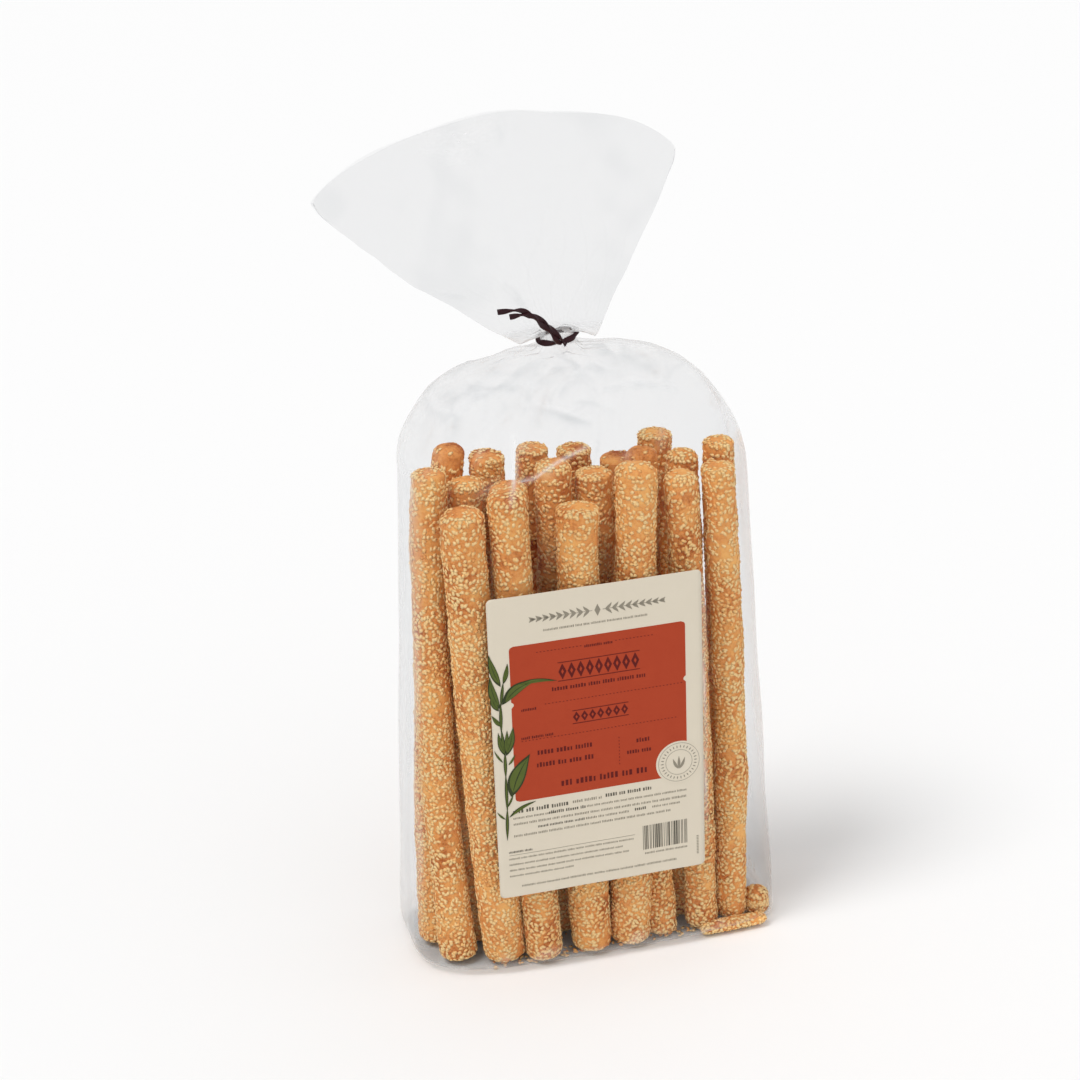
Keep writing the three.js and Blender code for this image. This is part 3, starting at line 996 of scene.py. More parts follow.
def distance_to_bends(points, places):
    """Distance from a line that bends at several places, the share of its whole length that lies
    before the nearest place on it, and whether the point is above it."""
    places = np.array(places, float)
    lengths = np.linalg.norm(np.diff(places, axis=0), axis=1)
    away = np.full(points.shape[:-1], np.inf)
    share = np.zeros(points.shape[:-1])
    above = np.zeros(points.shape[:-1], bool)
    done = 0
    for start, end, length in zip(places[:-1], places[1:], lengths):
        distance, part = distance_to_line(points, start, end)
        across = np.array((start[1] - end[1], end[0] - start[0])) * np.sign(end[0] - start[0] + 0.01)
        nearer = distance < away
        share = np.where(nearer, (done + part * length) / lengths.sum(), share)
        above = np.where(nearer, (points - start) @ across > 0, above)
        away = np.minimum(away, distance)
        done += length
    return away, share, above


bent_line = ((0, 0), (10, 0), (10, 10))
distance = distance_to_bends(np.array([[5.0, 3.0]]), bent_line)[0]
print("3 mm beside a bent line, the distance is", distance.round(1))

# %% [markdown]
# Each long crease runs through three to five places on the front. The numbers after them say how
# wide it is, how far it stands out, how strong its painted highlight is, and how deep the painted
# shade beside it is.

# %% The long creases
FRONT_CREASES = (  # places along it as (x, height), then its width, rise, painted highlight, painted shade
    (((-28, 225), (-29, 211), (-31, 197)), 0.7, 0.7, 1.0, 0.0),
    (((2, 217), (-12, 212), (-22, 207), (-33, 206)), 0.5, 0.6, 1.0, 0.0),
    (((41, 160), (41, 107), (41, 42)), 0.6, 0.4, 0.9, 0.0),
    (((-52, 232), (-40, 238), (-31, 237), (-21, 242), (-10, 244)), 0.9, 0.3, 0.1, 0.73),
    (((-47, 231), (-38, 236), (-27, 237), (-18, 240)), 0.7, 0.24, 0.3, 0.63),
    (((-56, 229), (-47, 230), (-50, 222)), 0.9, 0.24, 0.1, 0.53),
    (((-22, 232), (-11, 228), (2, 223)), 0.8, 0.3, 0.1, 0.81),
    (((-5, 231), (3, 230), (11, 226)), 0.6, 0.18, 0.1, 0.42),
    (((7, 234), (23, 234), (36, 230)), 0.6, 0.3, 0.4, 0.63),
    (((11, 248), (13, 244), (17, 238)), 1.8, 0.3, 0.0, 0.63),
    (((13, 241), (20, 243), (32, 238)), 1.7, 0.36, 0.1, 0.73),
    (((-5, 245), (0, 241), (5, 236)), 0.8, 0.24, 0.3, 0.67),
    (((-4, 238), (2, 240), (7, 242)), 0.8, 0.24, 0.3, 0.60),
    (((4, 242), (10, 239), (17, 238)), 1.0, 0.24, 0.1, 0.56),
    (((-17, 238), (-9, 241), (-2, 241)), 1.0, 0.24, 0.1, 0.49),
    (((-18, 245), (-21, 234), (-17, 224)), 0.8, 0.24, 0.1, 0.32),
    (((-10, 233), (-5, 237), (0, 237)), 0.9, 0.18, 0.1, 0.53),
    (((-54, 330), (-37, 328), (-22, 328)), 0.8, 0.2, 0.5, 0.0),
    (((-50, 326.5), (-37, 325.5), (-24, 325)), 0.7, 0.2, 0.5, 0.0),
    (((-52, 323), (-38, 322.5), (-30, 321)), 0.7, 0.2, 0.45, 0.0),
    (((-46, 319.5), (-40, 319), (-32, 319.5)), 0.7, 0.2, 0.4, 0.0),
    (((-20, 337), (-22, 331), (-21, 321)), 1.0, 0.24, 0.0, 0.2),
    (((-22, 331), (-30, 331.5), (-26, 323)), 0.9, 0.24, 0.35, 0.0),
    (((-50, 271), (-43, 270), (-36, 268)), 1.2, 0.24, 0.2, 0.28),
    (((-24, 273), (-19, 268), (-15, 261)), 1.3, 0.24, 0.1, 0.35),
    (((26, 268), (20, 261), (14, 255)), 1.4, 0.24, 0.1, 0.35),
)
print(len(FRONT_CREASES), "creases placed by hand")

# %% [markdown]
# A crease has two sides: below it the film is turned away from the light, and is painted grey as
# shade; above it, it catches the light, which is a painted highlight. It fades out towards both its
# ends. Three arrays collect what all the creases do: how far the film bulges, how white it is with
# milkiness and painted highlight, and how grey it is with layers and painted shade.

# %% Creases from the list
SHADE_ABOVE = 0.7  # how far the painted shade reaches on the upper side of a crease
SHADE_BELOW = 2.4  # and on its lower side, in widths of the crease
LIT_AT = 1.6  # the light band lies this far above a crease
LIT_SHARE = 0.25
grid_z = film_grid[..., 2]
tie_place = np.array((NECK[3], 0, NECK_HEIGHT))
from_tie = np.linalg.norm(film_grid - tie_place, axis=-1)
in_fan = np.zeros(film_grid.shape[:2], bool)
in_fan[-FAN_ROWS:] = True
in_dome = smooth_step(grid_z, 196, 214) * ~in_fan
at_neck = np.exp(-(((grid_z - NECK_HEIGHT) / 2.2) ** 2))
on_front = np.broadcast_to(film_turn > 0.5, film_grid.shape[:2])
bulge = np.zeros(film_grid.shape[:2])
white = np.zeros(film_grid.shape[:2])
thick = np.zeros(film_grid.shape[:2])
uneven = 0.9 + 0.5 * waves(film_grid, 6, 39).clip(-1, 1)

for places, width, rise, whiteness, thickness in FRONT_CREASES:
    away, share, above = distance_to_bends(film_grid[..., ::2], places)
    taper = np.sin(np.pi * share).clip(0) ** 0.6 * on_front
    ridge = np.exp(-away / width) * taper
    bulge += rise * ridge
    white = np.maximum(white, whiteness * ridge)
    fade = np.where(above, SHADE_ABOVE, SHADE_BELOW * width)
    shaded = np.exp(-((away / fade) ** 2)) * taper * uneven
    thick = np.maximum(thick, thickness * shaded)
    lit = np.exp(-((away - LIT_AT) ** 2)) * taper * above * uneven
    white = np.maximum(white, LIT_SHARE * thickness * lit)
print("the creases lift the film by up to", bulge.max().round(2), "mm")

# %% [markdown]
# Besides the long creases there are short ones, and a crumple too fine to place by hand. It is a
# ridged noise: where a smooth random wave passes through zero, one minus its size has a sharp
# ridge, and those ridges run over the film as thin, irregular, branching lines.

# %% Random creases and crumple
SHORT_CREASES = 70
CRUMPLE_RISE = 0.35
CRUMPLE_SHADE = 0.42
CLOUD_SHADE = 0.12  # painted shade in wide faint clouds in the fan
draw = np.random.default_rng(21)
for _ in range(SHORT_CREASES):
    angle = draw.uniform(0, 2 * np.pi)
    height = draw.uniform(203, 246)
    centre_row = np.argmin(np.abs(film_grid[:, 0, 2] - height) + in_fan[:, 0] * 999)
    centre = film_grid[centre_row, int(angle / (2 * np.pi) * FILM_COLUMNS) % FILM_COLUMNS]
    direction = unit(unit(tie_place - centre) + draw.normal(0, 0.75, 3))
    half = draw.uniform(4, 15)
    away, share = distance_to_line(film_grid, centre - direction * half, centre + direction * half)
    ridge = np.exp(-away / draw.uniform(0.8, 1.8)) * np.sin(np.pi * share).clip(0) * ~in_fan
    bulge += draw.choice((-1, 1)) * draw.uniform(0.2, 0.6) * ridge
    # each short crease gets a painted highlight and a painted shade
    white = np.maximum(white, draw.uniform(0.05, 0.3) * ridge)
    thick = np.maximum(thick, draw.uniform(-0.2, 0.5) * ridge**2)

crumple = (1 - np.abs(waves(film_grid * (1, 1, 1.3), 26, 40))).clip(0) ** 7
crumple = crumple * smooth_step(waves(film_grid, 38, 41), -0.3, 0.9)
near_tie = np.exp(-((from_tie / 24) ** 2))
crumple_strength = crumple * np.where(in_fan, 0.6 * near_tie, in_dome)
bulge += CRUMPLE_RISE * crumple_strength
# painted shade along the crumple's lines
thick = np.maximum(thick, CRUMPLE_SHADE * crumple_strength * uneven)
# painted shade in soft clouds over the fan
cloudy = (waves(film_grid * (1, 1, 0.7), 46, 38) + 0.6 * waves(film_grid, 12, 42)) * in_fan
fan_cloud_shade = CLOUD_SHADE * smooth_step(cloudy, 0.2, 1.6) * smooth_step(from_tie, 8, 30)
thick = np.maximum(thick, fan_cloud_shade)
print(SHORT_CREASES, "short creases")

# %% [markdown]
# Gathers near the tie are triangle waves round the section, finer the nearer the tie, and pressed
# together in the tie itself, where the film is milky. Last come the slack waves of the wall, the
# dome and the fan. Then every point moves along the surface's own direction by its bulge.

# %% Gathers and slack
GATHERS = ((9, 1.3, 20, 32), (17, 0.9, 11, 33), (29, 0.5, 6, 34))  # folds, depth, fade, seed
DOME_SLACK = 0.32
WALL_SLACK = 0.22
FAN_SLACK = 0.9
FAN_RIPPLE = 0.15


def triangle(phase):
    """A triangle wave between -1 and 1 with a period of 1."""
    return 4 * np.abs(phase - np.floor(phase + 0.5)) - 1


for folds, depth, fade, seed in GATHERS:
    phase = film_turn * folds + 0.35 * waves(film_grid, 40, seed)
    strength = depth * np.exp(-from_tie / fade) * np.where(in_fan, 0.2, 1.0) * (1 - 0.85 * at_neck)
    bulge += triangle(phase) * strength
    edge = smooth_step(np.abs(triangle(phase)), 0.8, 1)
    # the ridges of the gathers get a painted highlight
    white = np.maximum(white, np.where(in_fan, 0.15, 0.3) * edge * np.exp(-from_tie / fade))
white = np.maximum(white, 0.9 * at_neck)
bulge += waves(film_grid, 22, 31) * DOME_SLACK * in_dome
wall_waves = waves(film_grid * (1, 1, 0.25), 13, 35) * WALL_SLACK
bulge += wall_waves * smooth_step(grid_z, 8, 30) * ~in_fan
bulge += waves(film_grid, 30, 36) * FAN_SLACK * in_fan * smooth_step(from_tie, 5, 30)
bulge += waves(film_grid * (1, 0, 1), 11, 37) * FAN_RIPPLE * in_fan
sideways = np.abs(np.cos(film_turn * 2 * np.pi)) ** 6
bulge *= smooth_step(grid_z, 1, 12) * (1 - 0.65 * sideways * in_dome)
film_points = film_grid + grid_normals(film_grid) * bulge[..., None]
print("the film bulges from", bulge.min().round(2), "to", bulge.max().round(2), "mm")

# %% [markdown]
# At the bottom the film is folded and sealed, so it is several layers thick there, and greyer:
# partly from those layers and partly a painted shade from the sticks above. A painted highlight runs
# along the line where the sheet turns up into the wall, with painted highlight streaks on the base.
# Its two narrow sides are tucked in and a little greyer too. The film is one mesh, closed under the
# sticks.

# %% Make the film
# painted highlights: a line where the base turns up, and streaks on the base
edge_highlight = np.exp(-(((grid_z - 4.5) / 1.2) ** 2)) * 0.3
base_highlight_streaks = smooth_step(waves(film_grid * (0.4, 1, 1), 5, 43), 0.3, 1.2) * (grid_z < 8) * 0.3
white = np.maximum(white, np.maximum(edge_highlight, base_highlight_streaks))
# the base is greyer: its folded layers, and a painted shade from the sticks above
thick = np.maximum(thick, 1 - smooth_step(grid_z, 1, 5))
thick = np.maximum(thick, 0.4 * sideways * smooth_step(grid_z, 3, 20) * (1 - in_dome) * ~in_fan)
base_middle = (BASE[3], 0, FILM_LIFT)
rings = len(film_points)
film = make_piece(
    "bag_film",
    np.concatenate([film_points.reshape(-1, 3), [base_middle]]),
    grid_faces(rings, FILM_COLUMNS),
    pole_faces(rings * FILM_COLUMNS, np.arange(FILM_COLUMNS)),
    slot="bag_film",
    white=np.append(white.ravel(), 0),
    thick=np.append(thick.ravel(), 1),
)
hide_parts("bag")
print("film faces", len(film.data.polygons))

# %% [markdown]
# ## The film's finish
# Clear film lets nearly all light straight through, mirrors a little of it, and much more where it
# is seen edge on. So the shader mixes a clear one with a glossy one. The share of the glossy one is
# Schlick's curve, a small share plus the fifth power of how far the film faces away, and it rises
# in the creases and where the film carries a thin haze. A Fresnel node would treat the inside of
# the bag as the inside of solid glass, and turn the far film into a mirror.

# %% Nodes of the film
STRAIGHT_ON = 0.006  # share of light the film mirrors where it faces the eye
ONE_LAYER = (0.935, 0.936, 0.938)  # light that passes through one layer of film
FOLDED_AND_SHADED = (0.77, 0.785, 0.795)  # and through folded layers; also the painted shade at the base, by creases and in the fan
MIRROR_RISE = 0.8  # how much the mirrored share rises towards the edge
MILK_AND_HIGHLIGHT = 0.6  # share of light that a white crease scatters: real milkiness and painted highlight
HAZE = 0.015  # and the strongest haze between the creases

film_material, tree, output = new_material("clear_film")
# layers of film, with the painted shade of creases, crumple, fan clouds and base
layers = add_node(tree, "Attribute", (-300, 500), attribute_name="thick")
# milkiness of the film, with the painted highlight of creases, gathers and the base edge
crease = add_node(tree, "Attribute", (-300, 0), attribute_name="white")
place = add_node(tree, "TexCoord", (-700, -200))
facing = add_node(tree, "LayerWeight", (-500, 300))
edge_on = add_node(tree, "Math", (-300, 300), {1: 5}, operation="POWER")
schlick = add_node(
    tree, "Math", (-100, 250), {1: MIRROR_RISE, 2: STRAIGHT_ON}, operation="MULTIPLY_ADD"
)
haze = add_node(tree, "TexNoise", (-500, -200), Scale=38, Detail=4, Roughness=0.6)
haze_share = add_node(tree, "MapRange", (-300, -200), From_Min=0.5, From_Max=0.8, To_Max=HAZE)
milk_and_highlight_share = add_node(tree, "Math", (-100, 0), {1: MILK_AND_HIGHLIGHT}, operation="MULTIPLY_ADD")
factor = add_node(tree, "Math", (100, 100), operation="ADD", use_clamp=True)
mirror = add_node(tree, "MapRange", (100, -100), From_Max=0.03, To_Min=1, To_Max=0)
dulled = add_node(tree, "MapRange", (100, -300), To_Min=0.3, To_Max=0.5)
clearness = add_node(
    tree, "Mix", (100, 400), data_type="RGBA", A=(*ONE_LAYER, 1), B=(*FOLDED_AND_SHADED, 1)
)
clear = add_node(tree, "BsdfTransparent", (300, 200))
gloss = add_node(tree, "BsdfPrincipled", (300, 0), Base_Color=(0.93, 0.93, 0.93, 1))
mixed = add_node(tree, "MixShader", (600, 100))
print("film:", len(tree.nodes), "nodes")

# %% [markdown]
# The layers of film and the painted shade colour the clear shader. Haze, the milkiness with its
# painted highlight and the edge-on share add up to the share of the glossy one, which is mirror-like
# where the film is clear, and dull and white in a crease.

# %% Links of the film
connect(
    tree,
    (layers, "Fac", clearness, "Factor"),
    (clearness, "Result", clear, "Color"),
    (place, "Object", haze, "Vector"),
    (haze, "Fac", haze_share, "Value"),
    (crease, "Fac", milk_and_highlight_share, 0),
    (haze_share, "Result", milk_and_highlight_share, 2),
    (facing, "Facing", edge_on, 0),
    (edge_on, "Value", schlick, 0),
    (schlick, "Value", factor, 0),
    (milk_and_highlight_share, "Value", factor, 1),
    (milk_and_highlight_share, "Value", mirror, "Value"),
    (milk_and_highlight_share, "Value", dulled, "Value"),
    (mirror, "Result", gloss, "Metallic"),
    (dulled, "Result", gloss, "Roughness"),
    (factor, "Value", mixed, "Fac"),
    (clear, "BSDF", mixed, 1),
    (gloss, "BSDF", mixed, 2),
    (mixed, "Shader", output, "Surface"),
)
film.data.materials.append(film_material)
print("film finish:", len(tree.links), "links")

# %% [markdown]
# ## The label
# The label is a sheet of cream paper with rounded corners, stuck to the front of the film. Its own
# places are counted in millimetres from its lower left corner: s to the right and t upwards. One
# function turns them into a place on the bag, so the paper and everything printed on it follow the
# same gentle curve. Print is a very thin layer on the paper.

# %% Places and sheets on the label
LABEL_WIDTH = 82.5
LABEL_HEIGHT = 126.0
LABEL_CORNER = 2.0
PAPER_BACK = 0.32  # the back of the paper in front of the film
PAPER_FRONT = 0.58
PAPER_WAVE = 0.07
label_left = (label_low[0] + label_high[0] - LABEL_WIDTH) / 2
label_bottom = label_low[2]


def on_label(s, t, lift):
    """Place on the bag's front of a place on the label, lift millimetres in front of the film,
    with very slight waves where the paper bridges the gaps between the sticks."""
    x, height = label_left + s, label_bottom + t
    wave = PAPER_WAVE * np.sin(x / 5.1) * np.sin(height / 23)
    return np.stack([x, front_of_bag(x, height) - lift - wave, height], axis=-1)


def closed_sheet(s, t, back, front):
    """Points and faces of a thin closed sheet between two lifts: s and t are grids of places. A
    grid whose columns run to the left of its rows would be inside out, so its faces are turned."""
    rows, columns = s.shape
    layers = [on_label(s, t, back).reshape(-1, 3), on_label(s, t, front).reshape(-1, 3)]
    quads = grid_faces(rows, columns, wrap=False)
    size = rows * columns
    index = np.arange(size).reshape(rows, columns)
    rim = np.concatenate([index[0], index[1:, -1], index[-1, -2::-1], index[-2:0:-1, 0]])
    after = np.roll(rim, -1)
    sides = np.stack([rim, after, after + size, rim + size], axis=1)
    faces = np.concatenate([quads[:, ::-1], quads + size, sides])
    rightwards = np.array((s[0, -1] - s[0, 0], t[0, -1] - t[0, 0]))
    upwards = np.array((s[-1] - s[0], t[-1] - t[0])).mean(axis=1)
    if rightwards[0] * upwards[1] < rightwards[1] * upwards[0]:
        faces = faces[:, ::-1]
    return np.concatenate(layers), faces, np.zeros(2 * size)


print("the label starts at x", label_left.round(1), "and height", label_bottom.round(1))

# %% [markdown]
# The paper is a grid of rows from bottom to top. A row near a corner starts and ends further in, by
# the outline of a circle, so the rows are close together there.


# %% Label paper
def rounded_edge(t, low, high, radius):
    """How far a rounded corner cuts in at t: radius - sqrt(radius^2 - d^2) near either end."""
    inside = np.minimum(t - low, high - t).clip(0, radius)
    return radius - np.sqrt(radius**2 - (radius - inside) ** 2)


def cut_rectangle(left, right, rows, cut, columns):
    """Grids of places between two edges, each row shortened by its cut at both its ends."""
    s = left + cut + (right - left - 2 * cut) * np.linspace(0, 1, columns)[None]
    return s, np.broadcast_to(rows, s.shape)


corner_rows = LABEL_CORNER * (1 - np.cos(np.linspace(0, np.pi / 2, 7)))
straight_rows = np.linspace(LABEL_CORNER, LABEL_HEIGHT - LABEL_CORNER, 60)[1:-1]
label_rows = [corner_rows, straight_rows, LABEL_HEIGHT - corner_rows[::-1]]
label_rows = np.concatenate(label_rows)[:, None]
cut = rounded_edge(label_rows, 0, LABEL_HEIGHT, LABEL_CORNER)
s_grid, t_grid = cut_rectangle(0, LABEL_WIDTH, label_rows, cut, 45)
points, faces, _ = closed_sheet(s_grid, t_grid, PAPER_BACK, PAPER_FRONT)
paper = make_piece("label_sheet", points, faces, slot="label_paper")
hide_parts("label")
print("label sheet", LABEL_WIDTH, "x", LABEL_HEIGHT)

# %% [markdown]
# ## What is printed
# The print is plain and generic: one large terracotta field with small notches at its sides, rows
# of dots, rows of small upright strokes in the place of words, a band of lozenges in the place of a
# title, a leafy sprig, and a round plain seal. Each ink is one mesh of thin closed sheets, and the
# sheets that overlap another ink lie a level higher.

# %% Boxes and rows of strokes
INK = 0.05  # thickness of a layer of ink
INK_SINK = 0.02  # each layer reaches this far into the one below
INK_NAMES = ("terracotta", "maroon", "grey", "faint", "green", "deep_green", "cream")
ink_shapes = {ink: [] for ink in INK_NAMES}


def print_grid(ink, s, t, level=1):
    """Adds one thin sheet to an ink, level layers above the paper."""
    low = PAPER_FRONT - INK_SINK + INK * (level - 1)
    ink_shapes[ink].append(closed_sheet(s, t, low, low + INK + INK_SINK))


def print_box(ink, left, bottom, width, height, level=1):
    """A rectangle, cut into pieces narrow enough to follow the label's curve."""
    columns = max(2, int(width / 4) + 1)
    s, t = np.meshgrid(np.linspace(left, left + width, columns), (bottom, bottom + height))
    print_grid(ink, s, t, level)


def print_words(ink, left, bottom, width, height, seed, level=1, word=(2.0, 6.0)):
    """A line where small print would be: runs of upright strokes of uneven width and height, with
    a wider gap after each run."""
    draw = np.random.default_rng(seed)
    place = left
    while place < left + width - word[0] / 2:
        end = min(place + draw.uniform(*word), left + width)
        while place < end:
            stroke = height * draw.uniform(0.26, 0.46)
            tall = height * draw.uniform(0.72, 1.0)
            print_box(ink, place, bottom, stroke, tall, level)
            place += stroke + height * 0.26
        place += height * 0.45


print("inks:", ", ".join(ink_shapes))

# %% [markdown]
# Lozenges, ovals and leaves are rows of points too: at each place along them, a formula says how
# wide they are. A ring is a strip bent round its middle.


# %% Lozenges, ovals, leaves and rings
def print_lozenge(ink, centre_s, centre_t, half_width, half_height, level=1):
    """A lozenge: its left and right edges are apart by 1 - |height / half_height|."""
    up = np.array([[-1.0], [0.0], [1.0]])
    side = np.array([[-1.0, 1.0]])
    s = centre_s + half_width * (1.04 - np.abs(up)) * side
    print_grid(ink, s, centre_t + half_height * up + 0 * side, level)


def print_oval(ink, centre_s, centre_t, half_width, half_height, level=1, rows=13, columns=3):
    """An oval: at each height, points from its left edge to its right one, at cos of an angle."""
    angle = np.linspace(-np.pi / 2, np.pi / 2, rows)[:, None]
    side = np.linspace(-1, 1, columns)[None]
    s = centre_s + half_width * (np.cos(angle) + 0.02) * side
    t = centre_t + half_height * np.sin(angle) + 0 * side
    print_grid(ink, s, t, level)


def print_leaf(ink, base, tip, half_width, bend=0.0, level=1, part=(-1.0, 1.0), fullness=0.8):
    """A leaf from base to tip, or the part of it between two shares of its half width: half width
    * sin(pi * share^fullness), with its middle line bowed sideways by bend."""
    base, tip = np.array(base, float), np.array(tip, float)
    share = np.linspace(0.0, 1.0, 13)[:, None]
    along = tip - base
    sideways = np.array((along[1], -along[0])) / np.linalg.norm(along)
    middle = base + along * share + sideways * bend * 4 * share * (1 - share)
    half = half_width * (np.sin(np.pi * share**fullness) + 0.03)
    side = np.linspace(*part, 3)[None]
    s = middle[:, :1] + sideways[0] * half * side
    t = middle[:, 1:] + sideways[1] * half * side
    print_grid(ink, s, t, level)


def print_ring(ink, centre_s, centre_t, radius, width, level=1, parts=4):
    """A ring line, as a few arcs that follow one another."""
    for part in range(parts):
        angle = np.linspace(part, part + 1, 13) * 2 * np.pi / parts
        edge = np.array([[radius + width / 2], [radius - width / 2]])
        s = centre_s + edge * np.cos(angle)
        t = centre_t + edge * np.sin(angle)
        print_grid(ink, s[::-1, ::-1], t[::-1, ::-1], level)


print("leaf, ring, oval and lozenge ready")

# %% [markdown]
# The terracotta field fills the middle of the label. Its outline is a rectangle with small rounded
# corners and one half-round notch on each side, worked out row by row. On it, in maroon, stand rows
# of dots, two bands of lozenges between thin lines, and the rows of strokes.

# %% The field and what is on it
PANEL = (7.7, 41.0, 75.8, 106.0)  # left, bottom, right and top
PANEL_CORNER = 1.6
NOTCH_HEIGHT = 82.0
NOTCH_RADIUS = 1.0
panel_rows = np.linspace(PANEL[1], PANEL[3], 121)[:, None]
notch = np.sqrt((NOTCH_RADIUS**2 - (panel_rows - NOTCH_HEIGHT) ** 2).clip(0))
cut = rounded_edge(panel_rows, PANEL[1], PANEL[3], PANEL_CORNER) + notch
print_grid("terracotta", *cut_rectangle(PANEL[0], PANEL[2], panel_rows, cut, 30))

DOT_STEP = 1.4
DOT_LONG = 0.55
DOT_THIN = 0.25
DOT_ROWS = ((18.0, 35.0, 102.2), (48.5, 63.0, 102.2), (20.5, 75.0, 80.4), (11.0, 72.0, 66.2))
for left, right, height in DOT_ROWS:
    for place in np.arange(left, right, DOT_STEP):
        print_box("maroon", place, height, DOT_LONG, DOT_THIN, 2)
for place in np.arange(50.0, 62.5, DOT_STEP):
    print_box("maroon", 48.8, place, DOT_THIN, DOT_LONG, 2)

BANDS = (  # left, right, number of lozenges, height of the middle, half height
    (26.0, 57.8, 9, 92.9, 3.2),
    (31.0, 53.0, 7, 73.2, 2.1),
)
for left, right, number, height, half in BANDS:
    step = (right - left) / number
    for place in left + step * (np.arange(number) + 0.5):
        print_lozenge("maroon", place, height, step * 0.42, half, 2)
        print_lozenge("terracotta", place, height, step * 0.14, half * 0.34, 3)
    print_box("maroon", left, height - half - 0.75, right - left, 0.3, 2)
    print_box("maroon", left, height + half + 0.45, right - left, 0.3, 2)
PANEL_WORDS = (  # left, bottom, width, height of each row of strokes
    (36.5, 101.4, 10.5, 1.1),
    (23.5, 85.4, 36.5, 1.6),
    (11.4, 78.8, 6.5, 1.1),
    (11.0, 67.0, 12.0, 1.1),
    (17.0, 59.6, 20.5, 2.0),
    (16.6, 54.4, 21.5, 2.0),
    (55.8, 58.2, 5.0, 1.8),
    (52.0, 53.8, 12.0, 1.6),
    (25.8, 44.8, 33.5, 2.6),
)
for seed, row in enumerate(PANEL_WORDS, 41):
    print_words("maroon", *row, seed, 2, (3, 7))
print("field printed,", len(ink_shapes["maroon"]), "maroon shapes on it")

# %% [markdown]
# The seal is a cream disc over the field's lower right corner, with two pale rings, a ring of short
# strokes and a plain leaf of three blades. Above the field, a pale branch takes the place of a
# heading.

# %% The seal and the branch at the top
SEAL = np.array((72.5, 46.8))
SEAL_RADIUS = 9.0
print_oval("cream", *SEAL, SEAL_RADIUS, SEAL_RADIUS, 2, rows=41, columns=9)
for radius in (8.2, 5.3):
    print_ring("faint", *SEAL, radius, 0.16, 3)
for turn in np.arange(30) / 30 * 2 * np.pi:
    spoke = np.array((np.cos(turn), np.sin(turn)))
    print_leaf("faint", SEAL + 6.1 * spoke, SEAL + 7.4 * spoke, 0.22, 0, 3)
for lean in (-2.4, 0.0, 2.4):
    foot, tip = SEAL + (lean * 0.1, -2.8), SEAL + (lean, 2.6 - abs(lean) / 3)
    print_leaf("faint", foot, tip, 0.55, lean / 9, 3)

BRANCH = (42.0, 115.9)  # its middle
for side in (-1, 1):
    for number in range(9):
        root = BRANCH[0] + side * (3 + number * 2.6)
        for up in (-1, 1):
            tip = (root + side * 2.5, BRANCH[1] + up * (2.3 - 0.14 * number))
            print_leaf("faint", (root, BRANCH[1]), tip, 0.5, side * up * 0.35)
    print_box("faint", BRANCH[0] + min(side * 2, side * 26), BRANCH[1] - 0.1, 24, 0.2)
print_lozenge("faint", *BRANCH, 1.1, 2.4)
print("seal and branch:", len(ink_shapes["faint"]), "pale shapes")

# %% [markdown]
# The small print stands below the field, apart from one row above it. With it come a long thin
# line, a column of short ticks, and a block of stripes of random widths, which looks like a code
# but says nothing.

# %% The small print
SMALL_PRINT = (  # ink, left, bottom, width, height
    ("grey", 6.5, 36.2, 21.5, 1.7),
    ("faint", 30.0, 36.6, 11.5, 1.2),
    ("grey", 43.0, 36.9, 18.0, 1.5),
    ("faint", 6.5, 33.7, 17.0, 0.9),
    ("grey", 20.5, 33.7, 14.0, 1.3),
    ("faint", 35.5, 33.9, 40.0, 0.9),
    ("faint", 6.5, 31.1, 69.5, 1.0),
    ("grey", 16.0, 28.6, 18.0, 1.0),
    ("faint", 35.0, 28.6, 18.5, 1.0),
    ("grey", 54.5, 28.8, 6.0, 1.2),
    ("faint", 61.5, 28.8, 12.0, 1.0),
    ("faint", 6.5, 26.0, 62.0, 1.0),
    ("grey", 4.2, 19.2, 9.0, 0.9),
    ("faint", 4.2, 16.3, 50.0, 0.8),
    ("faint", 4.2, 13.8, 45.0, 0.8),
    ("faint", 4.2, 11.3, 49.0, 0.8),
    ("faint", 4.2, 8.8, 25.0, 0.8),
    ("faint", 8.7, 3.9, 63.5, 0.9),
    ("faint", 58.2, 8.8, 17.2, 0.9),
    ("faint", 21.0, 110.5, 41.5, 0.9),
)
for seed, (ink, *row) in enumerate(SMALL_PRINT, 60):
    print_words(ink, *row, seed)
print_box("faint", 4.3, 18.2, 50, 0.16)
for place in np.arange(5.2, 13.5, 0.7):
    print_box("faint", 79.2, place, 0.8, 0.34)

draw = np.random.default_rng(90)
stripe = 57.5
while stripe < 75.2:
    width = draw.choice((0.2, 0.35, 0.6), p=(0.5, 0.3, 0.2))
    print_box("grey", stripe, 10.9, width, 10.5)
    stripe += width + draw.choice((0.25, 0.4, 0.6), p=(0.5, 0.3, 0.2))

print(len(SMALL_PRINT), "rows of small print")

# %% [markdown]
# The sprig grows up the left edge of the label: a stem, narrow leaves in pairs, and one broad leaf
# low on the right. Each leaf is painted three times: whole in deep green, and then its two halves,
# a little smaller, in green, so that a dark edge and a dark rib are left.

